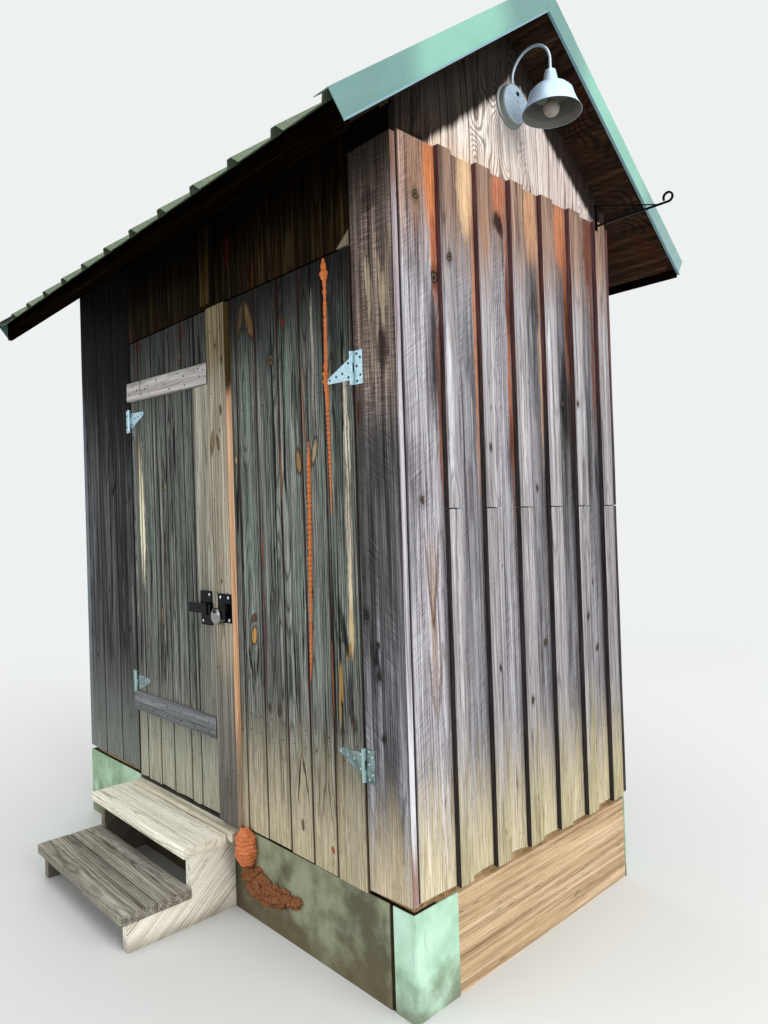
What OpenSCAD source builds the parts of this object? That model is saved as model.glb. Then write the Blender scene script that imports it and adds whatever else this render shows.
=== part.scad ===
// Wooden outhouse: a small framed shed with a gable roof, a pair of doors in its long front wall
// and two steps up to them. X runs along the front wall, +Y to the rear, +Z up from the ground.
// The origin is the middle of the footprint at ground level, and sizes are in millimetres.

/* [Building] */
// Length of the front wall over the boards
wall_len = 2440; // [2300:10:2600]
// Depth of the gable walls over the boards
wall_dep = 1262; // [1150:2:1400]
// Height of the lower ends of the wall boards above the ground
wall_base = 350; // [320:5:450]
// Height of the upper ends of the side boards above their lower ends
board_top = 2366; // [2340:1:2380]
// Thickness of a wall board
board_t = 22; // [19:1:25]
// Thickness of a framing timber
stud_w = 38; // [38:1:45]
// Depth of a framing timber
stud_d = 89; // [89:1:95]

/* [Roof] */
// Slope of the roof in degrees
roof_pitch = 37; // [36:0.5:38]
// Height of the roof deck's underside at the ridge
ridge_under = 3269; // [3250:1:3290]
// Reach of the eaves past the long walls
eave_over = 320; // [300:1:340]
// Reach of the roof past the gable walls
rake_over = 163; // [140:1:180]
// Thickness of the plywood roof deck
deck_t = 18; // [15:1:20]
// Spacing of the ribs in the roof sheets
rib_pitch = 228; // [200:1:250]
// Height of a rib
rib_h = 21; // [18:1:25]

/* [Doors] */
// Left edge of the doorway, from the middle of the wall
door_left = -619; // [-640:1:-600]
// Right edge of the doorway
door_right = 1022; // [1000:1:1030]
// Height of the doorway's head above the lower ends of the wall boards
door_head = 2059; // [2030:1:2080]
// Left edge of the cover board that rides on the right door
cover_left = 150; // [140:1:170]
// Width of the cover board
cover_w = 140; // [120:1:150]

/* [Steps] */
// Height of the upper tread above the ground
upper_top = 302; // [290:1:310]
// Height of the lower tread above the ground
lower_top = 144; // [130:1:170]
// Thickness of the treads
tread_t = 38; // [32:1:40]

/* [Lamp] */
// Height of the lamp's back plate above the ground
lamp_z = 3005; // [2980:1:3030]
// Radius of the bend in the lamp's arm
arm_bend = 80; // [70:1:90]
// Radius of the shade's rim
shade_r = 103; // [90:1:110]

/* [Hidden] */

// Planes of the four walls
half_len = wall_len / 2;
half_dep = wall_dep / 2;
front = -half_dep;
frame_y = half_dep - board_t;
frame_x = half_len - board_t;
clear = 1;

// Levels
board_low = wall_base;
board_high = wall_base + board_top;
head = wall_base + door_head;
skirt_top = wall_base - 22;
skirt_t = 4;
found_top = wall_base - 30;
floor_t = 18;
floor_top = found_top + floor_t;
plate_top = floor_top + stud_w;
tie_top = 2720;
tie_low = tie_top - stud_w;
batten_w = 88;
batten_t = 20;
gable_batten_y = -434;
gable_batten_pitch = 190;
batten_joint = wall_base + 1200;
batten_gap = 2;

// Roof layers, measured square to the slope from the deck's underside
purlin_t = 38;
sheet_low = deck_t + purlin_t;
sheet_t = 1.5;
trim_low = -6;
trim_t = 2;
trim_high = sheet_low + sheet_t + rib_h + trim_t;
roof_half = half_len + rake_over;
sheet_end = (half_dep + eave_over - trim_low * sin(roof_pitch)) / cos(roof_pitch);
fascia_y = half_dep + eave_over;
fascia_t = 19;
fascia_low = wall_base + 2185;
deck_end = fascia_y - fascia_t - clear;
slope = tan(roof_pitch);
half_far = 2000;
seat = 0.3;
panel_t = 12;
panel_x = frame_x + panel_t;
arm_x = panel_x + 16;
shade_x = arm_x + 2 * arm_bend;

// Doors
door_low = wall_base - 15;
edge_gap = 3;
leaf_gap = 7;
cover_t = 25;
stile_t = 12;
ledge_t = 22;
knuckle_r = 6;
pin_r = 2.5;
pin_out = 9;
mid_knuckle = 30;
left_hinge_x = door_left - 1;
right_hinge_x = door_right + 1;
left_leaf_end = cover_left - leaf_gap;
strap_t = 2.5;
bolt_out = 30;
bolt_t = 8;
bolt_h = 40;
hinge_h = 108;
latch_z = wall_base + 830;
left_hinge_z = [wall_base + 424, wall_base + 1685];
right_hinge_z = [wall_base + 390, wall_base + 1660];

wall_high = roof_z(front, 0) - 12;
corner_high = board_high - 13;
jamb_left = door_left - 4;
jamb_right = door_right + 22;
rafter_x = [-frame_x, -400, 400 - stud_w, frame_x - stud_w];

// Seams between the front's boards, and the batten over the doors
seam_gap = 2;
wall_seams = [-1011, -814];
header_seams = [-535, -400, -265, -175, -81, 143, 224, 311, 394, 475, 560, 650, 749, 821, 892, 953];
header_batten = 143;
left_door_seams = [-528, -394, -265, -108, -25];
right_door_seams = [332, 465, 609, 741, 870];

// Steps
step_left = -638;
step_right = 232;
sill_low = wall_base - 35 - stud_w;
tread_gap = 3;
upper_back = front - 46;
upper_w = 184;
lower_back = front - 196;
lower_w = 138;

// Height of a plane parallel to the roof, a distance up from the deck's underside
function roof_z(y, up) = ridge_under + up / cos(roof_pitch) - slope * abs(y);

// A point on the slope: along it from the ridge, and up from the deck's underside
function on_slope(along, up) = [
    along * cos(roof_pitch) + up * sin(roof_pitch),
    ridge_under - along * sin(roof_pitch) + up * cos(roof_pitch)
];

// An upright board from corner to corner
module block(low, high) {
    translate(low) cube(high - low);
}

// An outline in the YZ plane drawn out along X
module along_x(x0, x1) {
    translate([x0, 0, 0]) rotate([90, 0, 90]) linear_extrude(x1 - x0) children();
}

// Both slopes of the roof
module both_slopes() {
    children();
    mirror([0, 1, 0]) children();
}

// Both gable ends
module both_ends() {
    children();
    mirror([1, 0, 0]) children();
}

module foundation_frame() color("tan") {
    out_y = half_dep - skirt_t;
    out_x = half_len - skirt_t;
    cross_y = out_y - stud_w - clear;
    both_slopes() block([-out_x, out_y - stud_w, 0], [out_x, out_y, found_top]);
    both_ends() block([out_x - stud_w, -cross_y, 0], [out_x, cross_y, found_top]);
    // Bearer under the middle of the floor
    block([-stud_w / 2, -cross_y, 0], [stud_w / 2, cross_y, found_top]);
}

module skirt_panels() color("aquamarine") {
    corner_front = 90;
    corner_side = 200;
    broken = 18;
    // From the left corner past the steps to its broken edge under the right door
    block([-half_len, front, 0], [half_len - corner_front - broken, front + skirt_t, skirt_top]);
    // Corner piece on the front and its return on the right side
    block([half_len - corner_front, front, 0], [half_len, front + skirt_t, skirt_top]);
    block([half_len - skirt_t, front + skirt_t + clear, 0], [half_len, front + corner_side, skirt_top]);
    // Left and rear sides; the right side's panel is missing beyond the return
    block([-half_len, front + skirt_t + clear, 0],
          [-half_len + skirt_t, half_dep - skirt_t - clear, skirt_top]);
    block([-half_len, half_dep - skirt_t, 0], [half_len, half_dep, skirt_top]);
}

module floor_deck() color("peru")
    block([-frame_x + 4, front + 28, found_top], [frame_x - 4, frame_y, floor_top]);

module door_sill() color("darkkhaki")
    block([step_left + 30, front - 42, sill_low], [270, front, sill_low + stud_w]);

// Foam squeezed out below the door's left corner, in lumps one above the other
module foam_filler() color("chocolate") {
    foam_x = 320;
    foam_low = 130;
    lump_h = 31;
    radii = [24, 31, 35, 38, 34, 26];
    profile = [for (i = [0:len(radii) - 1]) for (p = [[0.72, 0.08], [1, 0.35], [1, 0.7], [0.78, 0.96]])
        [radii[i] * p[0], foam_low + (i + p[1]) * lump_h]];
    top = foam_low + len(radii) * lump_h;
    intersection() {
        translate([foam_x, front - 22, 0]) rotate_extrude($fn = 48)
            polygon(concat([[0, foam_low]], profile, [[0, top]]));
        block([foam_x - 60, front - 90, 0], [foam_x + 60, front, top]);
    }
}

module step_stringers() color("wheat") {
    side_in = 14;
    cut_low = lower_top - tread_t;
    cut_high = upper_top - tread_t;
    front_y = lower_back - 2 * lower_w - tread_gap + 26;
    rise_y = lower_back + clear;
    for (x = [step_left + side_in, step_right - side_in - stud_w])
        along_x(x, x + stud_w)
            polygon([[front, 0], [front_y, 0], [front_y, cut_low], [rise_y, cut_low],
                     [rise_y, cut_high], [front - 42, cut_high], [front - 42, sill_low], [front, sill_low]]);
}

module step_treads() color("dimgray") {
    block([step_left, upper_back - upper_w, upper_top - tread_t], [step_right, upper_back, upper_top]);
    for (i = [0, 1])
        translate([0, -i * (lower_w + tread_gap), 0])
            block([step_left + 8, lower_back - lower_w, lower_top - tread_t],
                  [step_right - 6, lower_back, lower_top]);
}

module wall_plates() color("burlywood") {
    in_y = frame_y - stud_d;
    in_x = frame_x - stud_d;
    // Sole plates: rear, both ends, and the stretch left of the doorway
    block([-frame_x, in_y, floor_top], [frame_x, frame_y, plate_top]);
    for (s = [0, 1]) mirror([s, 0, 0])
        block([in_x, -in_y + clear, floor_top], [frame_x, in_y - clear, plate_top]);
    block([-frame_x, -frame_y + 6, floor_top], [jamb_left - stud_w, -in_y, plate_top]);
    // Top plates on all four sides
    for (s = [0, 1]) mirror([0, s, 0])
        block([-frame_x, in_y, tie_low], [frame_x, frame_y, tie_top]);
    for (s = [0, 1]) mirror([s, 0, 0])
        block([in_x, -in_y + clear, tie_low], [frame_x, in_y - clear, tie_top]);
}

module wall_frame() color("burlywood") {
    in_y = frame_y - stud_d;
    post_low = plate_top + clear;
    post_high = tie_low - clear;
    // Four corner posts; the front right one carries the right door
    both_ends() block([frame_x - stud_d, in_y, post_low], [frame_x, frame_y, post_high]);
    block([-frame_x, -frame_y, post_low], [-frame_x + stud_d, -in_y, post_high]);
    block([frame_x - stud_d, -frame_y, floor_top], [frame_x, -in_y, post_high]);
    // Jamb posts either side of the doorway, and the header between them
    block([jamb_left - stud_w, -frame_y, floor_top], [jamb_left, -in_y, post_high]);
    block([jamb_right, -frame_y, floor_top], [jamb_right + stud_w, -in_y, post_high]);
    block([jamb_left + clear, -frame_y + 6, head + 6],
          [jamb_right - clear, -frame_y + 6 + stud_w, head + 146]);
    // Two studs in the rear wall
    stud_x = 400;
    both_ends() block([stud_x - stud_w / 2, in_y, post_low], [stud_x + stud_w / 2, frame_y, post_high]);
    // Rails at mid height, where the battens meet
    rail_y = frame_y - stud_w;
    rail_low = batten_joint - stud_d / 2;
    rail_high = rail_low + stud_d;
    side_y = frame_y - stud_d - clear;
    both_ends() {
        block([frame_x - stud_w, -side_y, rail_low], [frame_x, side_y, rail_high]);
        block([stud_x + stud_w / 2 + clear, rail_y, rail_low],
              [frame_x - stud_d - clear, frame_y, rail_high]);
    }
    block([-stud_x + stud_w / 2 + clear, rail_y, rail_low],
          [stud_x - stud_w / 2 - clear, frame_y, rail_high]);
}

module rafters() color("burlywood") {
    ridge_half = 10;
    for (x = rafter_x)
        both_slopes() along_x(x, x + stud_w)
            polygon([[ridge_half, roof_z(ridge_half, -seat)],
                     [frame_y, roof_z(frame_y, -seat)], [frame_y, tie_top],
                     [(ridge_under - stud_d / cos(roof_pitch) - tie_top) / slope, tie_top],
                     [ridge_half, roof_z(ridge_half, -stud_d)]]);
}

module ridge_board() color("burlywood")
    block([-frame_x, -9.5, ridge_under - 150], [frame_x, 9.5, ridge_under - 8]);

// Upright boards of the front, side by side between two ends with open seams
module front_boards(x0, seams, x1, low, high) {
    edges = concat([x0 - seam_gap / 2], seams, [x1 + seam_gap / 2]);
    for (i = [0:len(edges) - 2])
        block([edges[i] + seam_gap / 2, front, low],
              [edges[i + 1] - seam_gap / 2, front + board_t, high]);
}

module front_wall_left() color("gray")
    front_boards(-half_len, wall_seams, door_left - edge_gap, board_low, wall_high);

// Short boards over the doors, a filler over the corner board and a batten over a seam
module front_wall_header() color("dimgray") {
    seam_w = 80;
    split_x = door_right + edge_gap - clear;
    front_boards(door_left - edge_gap + clear, header_seams, split_x, head + 4, wall_high);
    block([split_x + clear, front, corner_high + clear], [half_len, front + board_t, wall_high]);
    translate([header_batten, 0, 0])
        block([-seam_w / 2, front - batten_t, head + 10], [seam_w / 2, front, wall_high - 40]);
}

module front_corner_board() color("gray")
    block([door_right + edge_gap, front, board_low], [half_len, front + board_t, corner_high]);

// Boards of a gable wall, which start behind a dark gap at the front corner
module gable_wall_boards() {
    corner_gap = 38;
    block([frame_x, front + corner_gap, board_low], [half_len, half_dep - board_t - clear, board_high]);
}

// Upper and lower battens of a wall on its outer face
module batten_pair(y0, y1) {
    block([half_len, y0, board_low], [half_len + batten_t, y1, batten_joint - batten_gap / 2]);
    block([half_len, y0, batten_joint + batten_gap / 2], [half_len + batten_t, y1, board_high]);
}

module gable_wall_battens() {
    // A narrow batten near the front, then five wider ones
    first_w = 64;
    other_w = 78;
    for (i = [0:5])
        let (y = gable_batten_y + i * gable_batten_pitch)
            batten_pair(y, y + (i == 0 ? first_w : other_w));
}

module right_wall_boards() color("silver") gable_wall_boards();

module right_wall_battens() color("silver") gable_wall_battens();

module left_wall_boards() color("silver") mirror([1, 0, 0]) gable_wall_boards();

module left_wall_battens() color("silver") mirror([1, 0, 0]) gable_wall_battens();

module rear_wall_boards() color("silver")
    block([-half_len, frame_y, board_low], [half_len, half_dep, wall_high]);

module rear_wall_battens() color("silver") {
    count = 13;
    pitch = (wall_len - batten_w) / (count - 1);
    for (i = [0:count - 1]) {
        x = -half_len + i * pitch;
        block([x, half_dep, board_low], [x + batten_w, half_dep + batten_t, batten_joint - batten_gap / 2]);
        block([x, half_dep, batten_joint + batten_gap / 2], [x + batten_w, half_dep + batten_t, board_high]);
    }
}

module gable_panels() color("rosybrown") {
    low = board_high + 2;
    side = frame_y - clear;
    both_ends() along_x(frame_x, panel_x)
        polygon([[-side, low], [side, low], [side, roof_z(side, -2)], [0, roof_z(0, -2)],
                 [-side, roof_z(side, -2)]]);
}

module roof_deck() color("saddlebrown") both_slopes() along_x(-roof_half + 3, roof_half - 3)
    polygon([[clear, roof_z(clear, 0)], [clear, roof_z(clear, deck_t)],
             [deck_end, roof_z(deck_end, deck_t)], [deck_end, roof_z(deck_end, 0)]]);

module roof_purlins() color("saddlebrown") {
    starts = [50, 540, 1030];
    for (start = starts) both_slopes() along_x(-roof_half + 4, roof_half - 4)
        polygon([on_slope(start, deck_t + seat), on_slope(start + stud_d, deck_t + seat),
                 on_slope(start + stud_d, sheet_low - seat), on_slope(start, sheet_low - seat)]);
}

// Cross section of a ribbed sheet
module sheet_profile() {
    count = floor(2 * roof_half / rib_pitch);
    start = -count * rib_pitch / 2;
    top = 22;
    foot = 60;
    points = [for (i = [0:count]) let (x = start + i * rib_pitch)
        for (p = [[-foot / 2, 0], [-top / 2, rib_h], [top / 2, rib_h], [foot / 2, 0]])
            [min(max(x + p[0], -roof_half + 2), roof_half - 2), p[1]]];
    under = [for (i = [len(points) - 1:-1:0]) [points[i][0], points[i][1] - sheet_t]];
    polygon(concat(points, under));
}

module roof_sheets() color("mediumseagreen") both_slopes() {
    start = 45;
    translate([0, 0, ridge_under]) rotate([-roof_pitch, 0, 0])
        translate([0, start, sheet_low + sheet_t]) rotate([-90, 0, 0]) mirror([0, 1, 0])
            linear_extrude(sheet_end - start) sheet_profile();
}

// Bent cap over the ridge, lying on the ribs and the trims
module ridge_cap() color("mediumseagreen") {
    reach = 150;
    up = trim_high + 0.5;
    low = on_slope(reach, up);
    high = on_slope(reach, up + sheet_t);
    along_x(-roof_half, roof_half)
        polygon([[0, roof_z(0, up)], low, high, [0, roof_z(0, up + sheet_t)],
                 [-high[0], high[1]], [-low[0], low[1]]]);
}

// Folded trims along the sloping edges: a hem, a face and a flange over the outer ribs
module rake_trims() color("mediumaquamarine") both_ends() both_slopes()
    translate([0, 0, ridge_under]) rotate([-roof_pitch, 0, 0]) {
        flange = 60;
        hem = 11;
        over = 100;
        run = sheet_end + over;
        // The trims of the two slopes meet on the ridge's plumb line
        intersection() {
            union() {
                translate([roof_half - trim_t, -over, trim_low]) cube([trim_t, run, trim_high - trim_low]);
                translate([roof_half - trim_t, -over, trim_low]) cube([hem, run, trim_t]);
                translate([roof_half - flange, -over, trim_high - trim_t]) cube([flange, run, trim_t]);
            }
            rotate([roof_pitch, 0, 0]) translate([0, clear / 2, -half_far]) cube(2 * half_far);
        }
    }

module eave_fascias() color("saddlebrown") both_slopes() along_x(-roof_half + 3, roof_half - 3)
    polygon([[fascia_y, fascia_low], [fascia_y, roof_z(fascia_y, sheet_low) - 1],
             [fascia_y - fascia_t, roof_z(fascia_y - fascia_t, sheet_low) - 1],
             [fascia_y - fascia_t, fascia_low]]);

module left_door_boards() color("darkslategray")
    front_boards(door_left + edge_gap, left_door_seams, left_leaf_end, door_low, head - 4);

// The upper ledge slopes down to the right; the lower one is level
module left_door_ledges() color("lightgray") {
    x0 = door_left + edge_gap + 4;
    x1 = left_leaf_end - 5;
    tall = 86;
    for (ends = [[300, 300], [1776, 1750]])
        translate([0, front, wall_base]) rotate([90, 0, 0]) linear_extrude(ledge_t)
            polygon([[x0, ends[0]], [x1, ends[1]], [x1, ends[1] + tall - 2], [x0, ends[0] + tall]]);
}

module left_door_stile() color("gray")
    block([left_leaf_end - 135, front - stile_t, wall_base + 387], [left_leaf_end, front, wall_base + 1748]);

module right_door_boards() color("darkslategray")
    front_boards(cover_left, right_door_seams, door_right - edge_gap, door_low, head - 4);

module right_door_ledges() color("burlywood") {
    for (z = [wall_base + 330, wall_base + 1600])
        block([cover_left + 30, front + board_t, z], [door_right - 80, front + board_t + 20, z + 140]);
}

module door_cover_board() color("tan")
    block([cover_left, front - cover_t, wall_base - 12], [cover_left + cover_w, front, head - 12]);

// Strap of a T hinge: a tapered plate with its rounded end away from the pin
module strap(length, drop) {
    wide = 72;
    tip_r = 9;
    rotate([90, 0, 0]) linear_extrude(strap_t)
        polygon([[7, -wide / 2], [13, -wide / 2], [length - 3, drop - tip_r], [length, drop - tip_r / 2],
                 [length, drop + tip_r / 2], [length - 3, drop + tip_r], [13, wide / 2], [7, wide / 2]]);
    // The strap's knuckle round the pin
    difference() {
        translate([0, -pin_out, -mid_knuckle / 2]) union() {
            cylinder(r = knuckle_r, h = mid_knuckle, $fn = 32);
            cube([pin_out, pin_out, mid_knuckle]);
        }
        translate([0, -pin_out, -mid_knuckle]) cylinder(r = pin_r + 0.1, h = 2 * mid_knuckle, $fn = 32);
    }
}

module left_door_straps() color("lightsteelblue") for (z = left_hinge_z)
    translate([left_hinge_x, front, z]) strap(140, 22);

module right_door_straps() color("lightsteelblue") for (z = right_hinge_z)
    translate([right_hinge_x, front, z]) mirror([1, 0, 0]) strap(130, z > 1000 ? -24 : 24);

// Leaf of a T hinge on the fixed frame, with two knuckles
module hinge_leaf() {
    end_knuckle = (hinge_h - mid_knuckle) / 2 - 0.5;
    translate([-46, -strap_t, -hinge_h / 2]) cube([40, strap_t, hinge_h]);
    for (z = [-hinge_h / 2, hinge_h / 2 - end_knuckle]) translate([0, -pin_out, z]) {
        cylinder(r = knuckle_r, h = end_knuckle, $fn = 32);
        translate([-pin_out, 0, 0]) cube([pin_out, pin_out, end_knuckle]);
    }
    // The pin through all three knuckles
    translate([0, -pin_out, -hinge_h / 2]) cylinder(r = pin_r, h = hinge_h, $fn = 32);
}

module hinge_leaves() color("lightsteelblue") {
    for (z = left_hinge_z) translate([left_hinge_x, front, z]) hinge_leaf();
    for (z = right_hinge_z) translate([right_hinge_x, front, z]) mirror([1, 0, 0]) hinge_leaf();
}

// The bolt is drawn back so that both doors can open
module latch_bolt() color("black") {
    bolt_y = front - bolt_out;
    bolt_len = 173;
    block([left_leaf_end - bolt_len, bolt_y - bolt_t, latch_z - bolt_h / 2],
          [left_leaf_end, bolt_y, latch_z + bolt_h / 2]);
}

// Plate on the stile with a wide guide that the bolt slides through
module latch_plate() color("black") {
    plate_w = 89;
    plate_h = 141;
    guide_w = 34;
    wall = 4;
    slack = 0.5;
    x0 = left_leaf_end - 22 - plate_w;
    x1 = x0 + plate_w - guide_w;
    half_h = bolt_h / 2 + slack;
    block([x0, front - stile_t - 4, latch_z - plate_h / 2],
          [x0 + plate_w, front - stile_t, latch_z + plate_h / 2]);
    difference() {
        block([x1, front - bolt_out - bolt_t - slack - wall, latch_z - half_h - wall],
              [x1 + guide_w, front - stile_t, latch_z + half_h + wall]);
        block([x1 - 1, front - bolt_out - bolt_t - slack, latch_z - half_h],
              [x1 + guide_w + 1, front - bolt_out + slack, latch_z + half_h]);
    }
}

// Plate on the cover board with a raised bridge for the bolt's end
module latch_keeper() color("black") {
    plate_w = 98;
    plate_h = 114;
    plate_low = latch_z - 47;
    guide_w = 30;
    guide_x = 48;
    wall = 5;
    x1 = cover_left + cover_w;
    face = front - cover_t;
    block([x1 - plate_w, face - 4, plate_low], [x1, face, plate_low + plate_h]);
    difference() {
        block([x1 - guide_x, front - bolt_out - bolt_t - 2 - wall, latch_z - 27],
              [x1 - guide_x + guide_w, face, latch_z + 27]);
        block([x1 - guide_x - 1, front - bolt_out - bolt_t - 2, latch_z - 22],
              [x1 - guide_x + guide_w + 1, face - 4, latch_z + 22]);
    }
}

// Round padlock with its shackle across a gap in the upper edge
module padlock() color("silver") {
    body_r = 34;
    body_t = 26;
    face_r = 27;
    bevel = 5;
    gap_w = 24;
    gap_low = 13;
    shackle_at = 23;
    shackle_r = 4.5;
    shackle_turn = 76;
    translate([cover_left + 56, front - cover_t - 4, latch_z - 22]) rotate([90, 0, 0]) {
        difference() {
            rotate_extrude($fn = 64)
                polygon([[0, 0], [face_r, 0], [body_r, bevel], [body_r, body_t - bevel],
                         [face_r, body_t], [0, body_t]]);
            translate([-gap_w / 2, gap_low, -1]) cube([gap_w, body_r, body_t + 2]);
        }
        translate([0, 0, body_t / 2]) rotate([0, 0, 90 - shackle_turn / 2])
            rotate_extrude(angle = shackle_turn, $fn = 64) translate([shackle_at, 0])
                circle(r = shackle_r, $fn = 32);
    }
}

module lamp_base() color("gainsboro") difference() {
    union() {
        translate([panel_x, 0, lamp_z]) rotate([0, 90, 0]) rotate_extrude($fn = 64)
            polygon([[0, 0], [78, 0], [78, 5], [72, 8], [70, 24], [66, 30], [0, 30]]);
        // Boss for the arm's foot
        translate([arm_x, 0, lamp_z + 40]) cylinder(r = 8, h = 36, $fn = 32);
    }
    // Light sensor's window and a screw hole in the cover
    translate([panel_x + 24, 12, lamp_z + 40]) rotate([0, 90, 0]) cylinder(r = 9, h = 10, $fn = 32);
    translate([panel_x + 24, 8, lamp_z + 12]) rotate([0, 90, 0]) cylinder(r = 3, h = 10, $fn = 24);
}

module lamp_arm() color("gainsboro") {
    rod_r = 5;
    foot_z = lamp_z + 76;
    bend_z = lamp_z + 90;
    socket_h = 50;
    translate([arm_x, 0, foot_z]) cylinder(r = rod_r, h = bend_z - foot_z, $fn = 32);
    translate([arm_x + arm_bend, 0, bend_z]) rotate([90, 0, 0])
        rotate_extrude(angle = 180, $fn = 64) translate([arm_bend, 0]) circle(r = rod_r, $fn = 32);
    translate([shade_x, 0, lamp_z + socket_h]) cylinder(r = rod_r, h = bend_z - lamp_z - socket_h, $fn = 32);
    // Socket cup over the shade
    translate([shade_x, 0, lamp_z]) cylinder(r1 = 29, r2 = 18.5, h = socket_h, $fn = 48);
}

module lamp_shade() color("gainsboro") {
    wall = 1.6;
    h = 96;
    outer = [[14, h], [29, h], [58, h - 10], [74, h - 26], [82, h - 52], [90, 22], [shade_r, 0]];
    rim = len(outer) - 1;
    inner = [for (i = [rim:-1:0])
        [outer[i][0] - (i > 1 ? wall : 0), max(outer[i][1] - (i < rim ? wall : 0), 0)]];
    translate([shade_x, 0, lamp_z - h])
        rotate_extrude($fn = 64) polygon(concat(outer, inner));
}

module lamp_bulb() color("ivory") translate([shade_x, 0, lamp_z - 80]) {
    sphere(r = 28, $fn = 48);
    cylinder(r = 13, h = 80, $fn = 32);
}

// Iron hanger: a back bar, a square arm that curls up at its end, and a thin brace above it
module hanger_bracket() color("black") {
    // Screwed to the last batten, near its front edge
    y = gable_batten_y + 5 * gable_batten_pitch + 9;
    low = board_high - 26;
    bar = 7;
    back_t = 5;
    back_w = 14;
    back_h = 92;
    reach = 306;
    curl_r = 14;
    curl_turn = 300;
    brace_t = 4;
    brace = [262, bar / 2 - 86];
    face = half_len + batten_t;
    translate([face, y - back_w / 2, low - 14]) cube([back_t, back_w, back_h + 14]);
    translate([face, y - bar / 2, low]) cube([reach, bar, bar]);
    // The curl at the arm's end
    translate([face + reach, y + bar / 2, low + curl_r + bar]) rotate([90, 0, 0])
        rotate([0, 0, -90]) rotate_extrude(angle = curl_turn, $fn = 48) translate([curl_r, 0]) square(bar);
    translate([face + 2, y - brace_t / 2, low + 86])
        rotate([0, atan2(-brace[1], brace[0]), 0]) cube([norm(brace), brace_t, brace_t]);
}

foundation_frame();
skirt_panels();
floor_deck();
door_sill();
foam_filler();
step_stringers();
step_treads();
wall_plates();
wall_frame();
rafters();
ridge_board();
front_wall_left();
front_wall_header();
front_corner_board();
right_wall_boards();
right_wall_battens();
left_wall_boards();
left_wall_battens();
rear_wall_boards();
rear_wall_battens();
gable_panels();
roof_deck();
roof_purlins();
roof_sheets();
ridge_cap();
rake_trims();
eave_fascias();
left_door_boards();
left_door_ledges();
left_door_stile();
left_door_straps();
right_door_boards();
right_door_ledges();
door_cover_board();
right_door_straps();
hinge_leaves();
latch_bolt();
latch_plate();
latch_keeper();
padlock();
lamp_base();
lamp_arm();
lamp_shade();
lamp_bulb();
hanger_bracket();
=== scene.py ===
"""Looks of the wooden outhouse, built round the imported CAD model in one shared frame."""

import math
import random

import bmesh
import bpy
from mathutils import Matrix, Vector, noise


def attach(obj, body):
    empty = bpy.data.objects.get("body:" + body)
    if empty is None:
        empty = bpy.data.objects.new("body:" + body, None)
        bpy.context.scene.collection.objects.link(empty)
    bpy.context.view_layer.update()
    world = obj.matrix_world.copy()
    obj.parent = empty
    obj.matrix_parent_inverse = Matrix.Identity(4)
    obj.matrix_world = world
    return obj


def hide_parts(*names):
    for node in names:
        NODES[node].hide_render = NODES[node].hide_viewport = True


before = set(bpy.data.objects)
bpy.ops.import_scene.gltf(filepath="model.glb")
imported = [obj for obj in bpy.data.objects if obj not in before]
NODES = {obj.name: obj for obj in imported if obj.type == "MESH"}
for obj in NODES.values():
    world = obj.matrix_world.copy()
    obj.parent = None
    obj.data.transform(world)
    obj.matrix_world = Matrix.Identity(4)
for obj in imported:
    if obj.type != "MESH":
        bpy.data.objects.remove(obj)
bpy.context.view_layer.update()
SCENE = bpy.context.scene

# Planes and levels of the building in metres, the same as in the CAD source
FRONT = -0.631
REAR = 0.631
SIDE = 1.220
BOARD = 0.022
BATTEN = 0.020
WALL_LOW = 0.350
WALL_HIGH = 2.7815
GABLE_HIGH = 2.716
JOINT = 1.550
HEAD = 2.409
LAMP = Vector((1.386, 0.0, 3.005))
PANEL_X = 1.210
BATTEN_Y = -0.434
BATTEN_PITCH = 0.190
PITCH = math.radians(37)
RIDGE = 3.269

X, Y, Z = Vector((1, 0, 0)), Vector((0, 1, 0)), Vector((0, 0, 1))

# Materials by name
MAT = {}


# Node trees


def put(tree, socket, value):
    """Gives an input a value, or links it when the value is another node's output. A colour is three
    shares, or a hexadecimal number."""
    if isinstance(value, bpy.types.NodeSocket):
        tree.links.new(value, socket)
    elif socket.type == "RGBA":
        socket.default_value = (*(rgb(value) if isinstance(value, int) else value), 1.0)
    else:
        socket.default_value = value


def add_node(tree, kind, inputs=(), **settings):
    """Adds a node and returns its outputs; inputs is a list, or a dictionary by number or name."""
    new = tree.nodes.new("ShaderNode" + kind)
    for name, value in settings.items():
        setattr(new, name, value)
    for key, value in inputs.items() if isinstance(inputs, dict) else enumerate(inputs):
        put(tree, new.inputs[key], value)
    return new.outputs


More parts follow.
